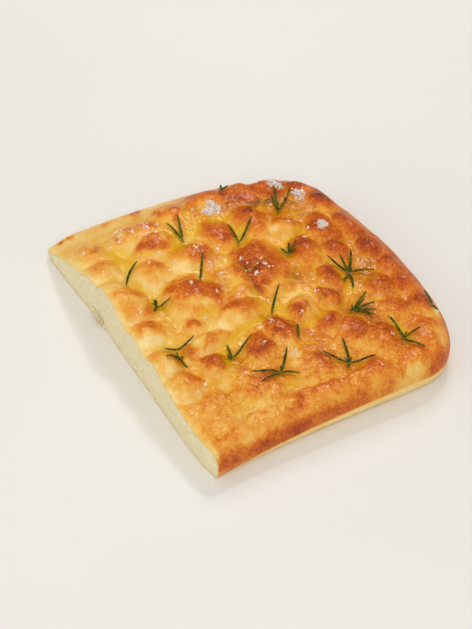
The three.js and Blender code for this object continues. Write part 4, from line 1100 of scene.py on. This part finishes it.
salt = {
    # Patches of flakes: x, y, radius, flakes.
    "patches": [(-79, 9, 7, 9), (-73.5, 63.5, 5, 4), (-55.5, 74, 5, 4), (-15, 69, 4.5, 5)],
    # Single flakes: x, y, size.
    "singles": [
        (-87, -44, 4.2), (-87, -35, 3), (-77, -41, 3.4), (-80, -49, 2.4), (-105, -62, 3.6), (-92, -64, 3),
        (-85, -69, 3.4), (-86, -76, 2.6), (-88, -56, 4.2), (-90, -97, 3.4), (-44, -25, 3.2), (-38, -10, 4.2),
        (-51, -62, 3), (-42, -45, 2.8), (-38, -52, 3), (-30, -22, 2.8), (-58, -50, 3), (-14, -47, 3.2),
        (-86, -4, 2.6), (-16, -3, 3.4), (0, 8, 3.2), (3, -1, 4), (-15, -20, 3), (-13, 52, 3), (-10, 45, 2.4),
        (-20, 60, 2.8), (-32, 50, 2.6), (-66, 69, 3), (1, -34, 3), (18, -54, 2.6), (-8, -93, 3),
        (37, 29, 3.6), (32, 39, 2.4), (50, 9, 3), (66, 8, 2.4), (60, -30, 2.4), (68, -84, 3.6),
        (72, -92, 2.8), (98, 56, 2.8),
    ],
    "sprigRoom": 5,  # the middle of a flake stays this far from every needle
    # Heaps of flakes that stuck together: x, y, half length, half width, turn in degrees, flakes, height.
    "heaps": [
        (-80, 11, 6, 4.5, 30, 130, 1.5), (-77, 4, 5, 4, 40, 60, 0.9), (-73.5, 63.5, 7, 3.6, 40, 90, 1.2),
        (-55.5, 74, 6.5, 3, 30, 80, 1.0), (-15, 69, 5, 3.6, -30, 80, 1.2), (-97, -62, 12, 7, -40, 9, 0.3),
        (-92, -42, 9, 6, 30, 7, 0.3), (-83, -45, 7, 5, 0, 5, 0.3), (1, 3, 12, 10, 0, 14, 0.3),
        (-40, -24, 8, 10, 0, 8, 0.3), (44, -15, 4, 2.5, 0, 10, 0.3), (76, -14, 6, 3, -20, 14, 0.3),
    ],
    "dryHeap": 0.5,  # heaps higher than this stay dry and white
    "heapFlake": (0.9, 2.4),  # smallest and largest flake of a heap
    "flakeWidth": 4.2,
    "flakeHeight": 1.5,
    "chips": 2,  # smaller pieces broken off each flake
    "chipSize": (0.25, 0.55),  # as a share of the flake's
    "chipReach": (0.35, 0.75),  # how far off they lie, as a share of the flake's size
    "placeTries": 80,
    "patchGrains": 9,  # fine grains for each flake of a patch
    "looseGrains": 640,
    "looseAcross": (-112, 112),
    "looseDeep": (-98, 92),
    "grainSize": (0.5, 1.8),
}


def clearOfSprigs(x, y, room):
    for cx, cy, needles in sprigs:
        for heading, length, _, _ in needles:
            c, s = math.cos(math.radians(heading)), math.sin(math.radians(heading))
            nearest = min(length, max(0, (x - cx) * c + (y - cy) * s))
            if math.hypot(x - cx - nearest * c, y - cy - nearest * s) < room:
                return False
    return True


def saltPlaces():
    draw, places = seededDraw(41), []

    def tryPlace(x, y, size):
        turn, tilt = next(draw) * math.pi, (next(draw) - 0.5) * 0.5
        spaced = all(math.hypot(px - x, py - y) > (other + size) * 0.55 for px, py, other, _, _ in places)
        if clearOfSprigs(x, y, salt["sprigRoom"]) and spaced:
            places.append((x, y, size, turn, tilt))

    for x, y, size in salt["singles"]:
        tryPlace(x, y, size)
    for cx, cy, radius, count in salt["patches"]:
        wanted, tries = len(places) + count, 0
        while len(places) < wanted and tries < salt["placeTries"]:
            angle = next(draw) * 2 * math.pi
            distance = radius * math.sqrt(next(draw))
            size = salt["flakeWidth"] * mix(0.75, 1.2, next(draw))
            tryPlace(cx + distance * math.cos(angle), cy + distance * math.sin(angle), size)
            tries += 1
    return places


# Adds one broken crystal: the hull of a few points in a flat box.
def addCrystal(target, draw, place, length, width, height, turn, tilt):
    corners = []
    for level, wide, count in ((-1, 1.0, 6), (0.15, 0.96, 6), (1, 0.6, 5)):
        for i in range(count):
            angle = (i + 0.7 * next(draw)) * 2 * math.pi / count
            reach = wide * (0.78 + 0.3 * next(draw)) / 2
            up = level * height * (0.9 + 0.2 * next(draw)) / 2
            corners.append(Vector((length * reach * math.cos(angle), width * reach * math.sin(angle), up)))
    turned = Matrix.Rotation(turn, 3, "Z") @ Matrix.Rotation(tilt, 3, "Y")
    verts = [target.verts.new(turned @ corner + Vector(place)) for corner in corners]
    hull = bmesh.ops.convex_hull(target, input=verts, use_existing_faces=False)
    inner = [part for part in hull["geom_interior"] if isinstance(part, bmesh.types.BMVert)]
    bmesh.ops.delete(target, geom=inner, context="VERTS")


# Scatters grains on given points, each turned and stretched its own way.
def makeGrainTree():
    tree, given = newTree("grainScatter", [("Seed", "NodeSocketInt"), ("Stretch", "NodeSocketFloat"),
                                           ("Material", "NodeSocketMaterial")])
    dots = addNode(tree, "GeometryNodeMeshToPoints", None, Mesh=given["Geometry"])
    ball = addNode(tree, "GeometryNodeMeshIcoSphere", None, Radius=0.5, Subdivisions=1)
    dents = addNode(tree, "ShaderNodeTexNoise", None, Scale=2.3)
    pushed = vectorNode(tree, "SUBTRACT", _0=dents.outputs["Color"], _1=(0.5, 0.5, 0.5))
    cut = addNode(tree, "GeometryNodeSetPosition", None, Geometry=ball.outputs["Mesh"], Offset=pushed)

    def drawn(low, high, seed):
        return addNode(tree, "FunctionNodeRandomValue", {"data_type": "FLOAT_VECTOR"}, _0=low, _1=high,
                       Seed=seed).outputs["Value"]

    narrow = minus(tree, 1.0, given["Stretch"])
    low = addNode(tree, "ShaderNodeCombineXYZ", None, X=narrow, Y=narrow, Z=narrow).outputs[0]
    spin = drawn((0, 0, 0), (6.28, 6.28, 6.28), given["Seed"])
    stretched = drawn(low, (1, 1, 1), plus(tree, given["Seed"], 7.0))
    size = addNode(tree, "GeometryNodeInputNamedAttribute", {"data_type": "FLOAT"}, Name="size")
    scale = vectorNode(tree, "SCALE", "Vector", _0=stretched, Scale=size.outputs["Attribute"])
    turned = addNode(tree, "FunctionNodeEulerToRotation", None, Euler=spin)
    placed = addNode(tree, "GeometryNodeInstanceOnPoints", None, Points=dots.outputs["Points"],
                     Instance=cut.outputs["Geometry"], Rotation=turned.outputs["Rotation"], Scale=scale)
    return endTree(tree, placed.outputs["Instances"], given["Material"])


grainTree = makeGrainTree()


# Grains of given sizes at given places, all in mm.
def growGrains(name, spots, sizes, values):
    mesh = bpy.data.meshes.new("spots")
    mesh.from_pydata(toFrame(spots).tolist(), [], [])
    addPointValues(mesh, "size", np.asarray(sizes) * 0.001)
    piece = growMesh(name, mesh, grainTree, values)
    report(piece)
    return piece


def buildFlakes(draw):
    places = saltPlaces()
    crystals = bmesh.new()
    heaped = crystals.verts.layers.float.new("heaped")
    heights = crustHeight([place[0] for place in places], [place[1] for place in places])
    for (x, y, size, turn, tilt), z in zip(places, heights):
        addCrystal(crystals, draw, (x, y, z + 0.1), size, size * 0.72, salt["flakeHeight"], turn, tilt)
        for _ in range(salt["chips"]):
            angle, away = next(draw) * 2 * math.pi, size * mix(*salt["chipReach"], next(draw))
            small = size * mix(*salt["chipSize"], next(draw))
            cx, cy = x + away * math.cos(angle), y + away * math.sin(angle)
            place = (cx, cy, float(crustHeight(cx, cy)) + 0.25)
            turn, tilt = next(draw) * math.pi, (next(draw) - 0.5) * 0.9
            addCrystal(crystals, draw, place, small, small * 0.8, small * 0.6, turn, tilt)
    for cx, cy, length, width, heapTurn, count, height in salt["heaps"]:
        c, s = math.cos(math.radians(heapTurn)), math.sin(math.radians(heapTurn))
        before = len(crystals.verts)
        for _ in range(count):
            angle, away = next(draw) * 2 * math.pi, next(draw) ** 0.7
            along, across = length * away * math.cos(angle), width * away * math.sin(angle)
            x, y = cx + along * c - across * s, cy + along * s + across * c
            size = mix(*salt["heapFlake"], next(draw) ** 2)
            z = float(crustHeight(x, y)) + 0.15 + height * (1 - away) * next(draw)
            turn, tilt = next(draw) * math.pi, (next(draw) - 0.5) * 1.2
            addCrystal(crystals, draw, (x, y, z), size, size * 0.75, size * 0.45, turn, tilt)
        if height > salt["dryHeap"]:
            crystals.verts.ensure_lookup_table()
            for vert in crystals.verts[before:]:
                vert[heaped] = 1
    mesh = bpy.data.meshes.new("salt_flakes")
    crystals.to_mesh(mesh)
    crystals.free()
    mesh.transform(Matrix.Scale(0.001, 4) @ Matrix.Translation(Vector(shift)))
    mesh.materials.append(saltMaterial)
    flakes = addPiece("salt_flakes", mesh)
    report(flakes)
    return flakes


def buildGrains(draw):
    spots = []
    for cx, cy, radius, count in salt["patches"]:
        for _ in range(count * salt["patchGrains"]):
            angle, away = next(draw) * 2 * math.pi, radius * 1.3 * math.sqrt(next(draw))
            spots.append((cx + away * math.cos(angle), cy + away * math.sin(angle), next(draw)))
    for _ in range(salt["looseGrains"]):
        x, y = mix(*salt["looseAcross"], next(draw) ** 1.25), mix(*salt["looseDeep"], next(draw))
        spots.append((x, y, next(draw) * 0.6))
    x, y, coarse = np.array(spots).T
    size = mix(*salt["grainSize"], coarse ** 2)
    places = points3(x, y, crustHeight(x, y) + size * 0.2)
    return growGrains("salt_grains", places, size, {"Seed": 12, "Stretch": 0.45, "Material": saltMaterial})


saltDraw = seededDraw(97)
for saltPiece in (buildFlakes(saltDraw), buildGrains(saltDraw)):
    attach(saltPiece, "root")
print("salt strewn")

# A tuft of crumb that the knife tore loose at the foot of the cut.
tuft = {
    "from": -62,
    "to": -41,
    "out": 4.6,
    "height": 9.0,
    "shreds": 64,
    "size": (1.2, 4.4),
}


def buildTuft():
    draw, spots, sizes = seededDraw(77), [], []
    for _ in range(tuft["shreds"]):
        share, level, away = next(draw), next(draw), next(draw)
        hump = math.sin(math.pi * share)
        size = mix(*tuft["size"], next(draw) ** 1.6)
        x = mix(tuft["from"], tuft["to"], share)
        y = float(cutLine(x)) - away * hump * tuft["out"] * (1 - 0.75 * level)
        spots.append((x, y, size * 0.55 + tuft["height"] * hump * level ** 1.5))
        sizes.append(size)
    return growGrains("crumb_tuft", spots, sizes, {"Seed": 5, "Stretch": 0.7, "Material": crumbMaterial})


tuftPiece = buildTuft()
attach(tuftPiece, "root")
print("torn crumb placed")

# The camera's place in mm, its turn and its slope in degrees, and its lens in mm.
view = {"place": (692.10, -440.84, 872.55), "turn": 58.4935, "down": 47, "lens": 90}
camera = bpy.data.objects.new("camera", bpy.data.cameras.new("camera"))
scene.collection.objects.link(camera)
aim = Euler((math.radians(90 - view["down"]), 0, math.radians(view["turn"])))
camera.matrix_world = Matrix.Translation(Vector(view["place"]) * 0.001) @ aim.to_matrix().to_4x4()
camera.data.lens = view["lens"]
camera.data.sensor_width = 36
camera.data.clip_end = 20
scene.camera = camera

floor = {"size": 8, "colours": [(0.3, (232, 230, 225)), (0.7, (236, 234, 229))], "cloudSize": 400}
half = floor["size"] / 2
floorMesh = bpy.data.meshes.new("floor")
floorCorners = [(-half, -half, 0), (half, -half, 0), (half, half, 0), (-half, half, 0)]
floorMesh.from_pydata(floorCorners, [], [(0, 1, 2, 3)])
floorPiece = addPiece("floor", floorMesh)
floorMaterial, floorTree, floorShader, floorPlace = newMaterial("pale_floor")
floorTone = colourRamp(floorTree, grain(floorTree, floorPlace, floor["cloudSize"], 2), floor["colours"])
floorTree.links.new(floorTone, floorShader.inputs["Base Color"])
floorShader.inputs["Roughness"].default_value = 0.8
floorMesh.materials.append(floorMaterial)

# The room's light, which is weaker low down behind the loaf.
sky = {
    "colour": (1.0, 0.99, 0.965, 1),
    "strength": 0.61,
    "dimTowards": (-0.85, 0.52, 0.0),
    "dimShare": 0.25,  # what is left there
    "dimFrom": (0.55, 0.85),
}
# Lamps: place in metres, size, power, colour.
lamps = {
    "window": ((-1.35, 0.85, 1.75), 0.7, 9.0, (1.0, 0.98, 0.95)),
    "side": ((1.15, -0.5, 1.5), 1.3, 10, (1.0, 0.985, 0.96)),
    "front": ((-0.2, -1.5, 0.75), 1.2, 3.5, (1.0, 0.98, 0.95)),
    "glint": ((-0.6, 0.7, 1.4), 0.15, 3.6, (1.0, 0.98, 0.95)),
}
world = bpy.data.worlds.new("studio")
scene.world = world
world.use_nodes = True
room = world.node_tree
background = room.nodes["Background"]
background.inputs["Color"].default_value = sky["colour"]
looking = addNode(room, "ShaderNodeTexCoord").outputs["Generated"]
facing = vectorNode(room, "DOT_PRODUCT", "Value", _0=looking, _1=sky["dimTowards"])
strength = spread(room, facing, *sky["dimFrom"], sky["strength"], sky["strength"] * sky["dimShare"])
room.links.new(strength, background.inputs["Strength"])
for name, (place, size, power, tint) in lamps.items():
    lamp = bpy.data.objects.new(name, bpy.data.lights.new(name, "AREA"))
    lamp.data.shape = "DISK"
    lamp.data.size = size
    lamp.data.energy = power
    lamp.data.color = tint
    lamp.location = place
    lamp.rotation_euler = (Vector((0, 0, 0.02)) - Vector(place)).to_track_quat("-Z", "Y").to_euler()
    scene.collection.objects.link(lamp)
scene.view_settings.view_transform = "Standard"
print("camera, floor and lights set")
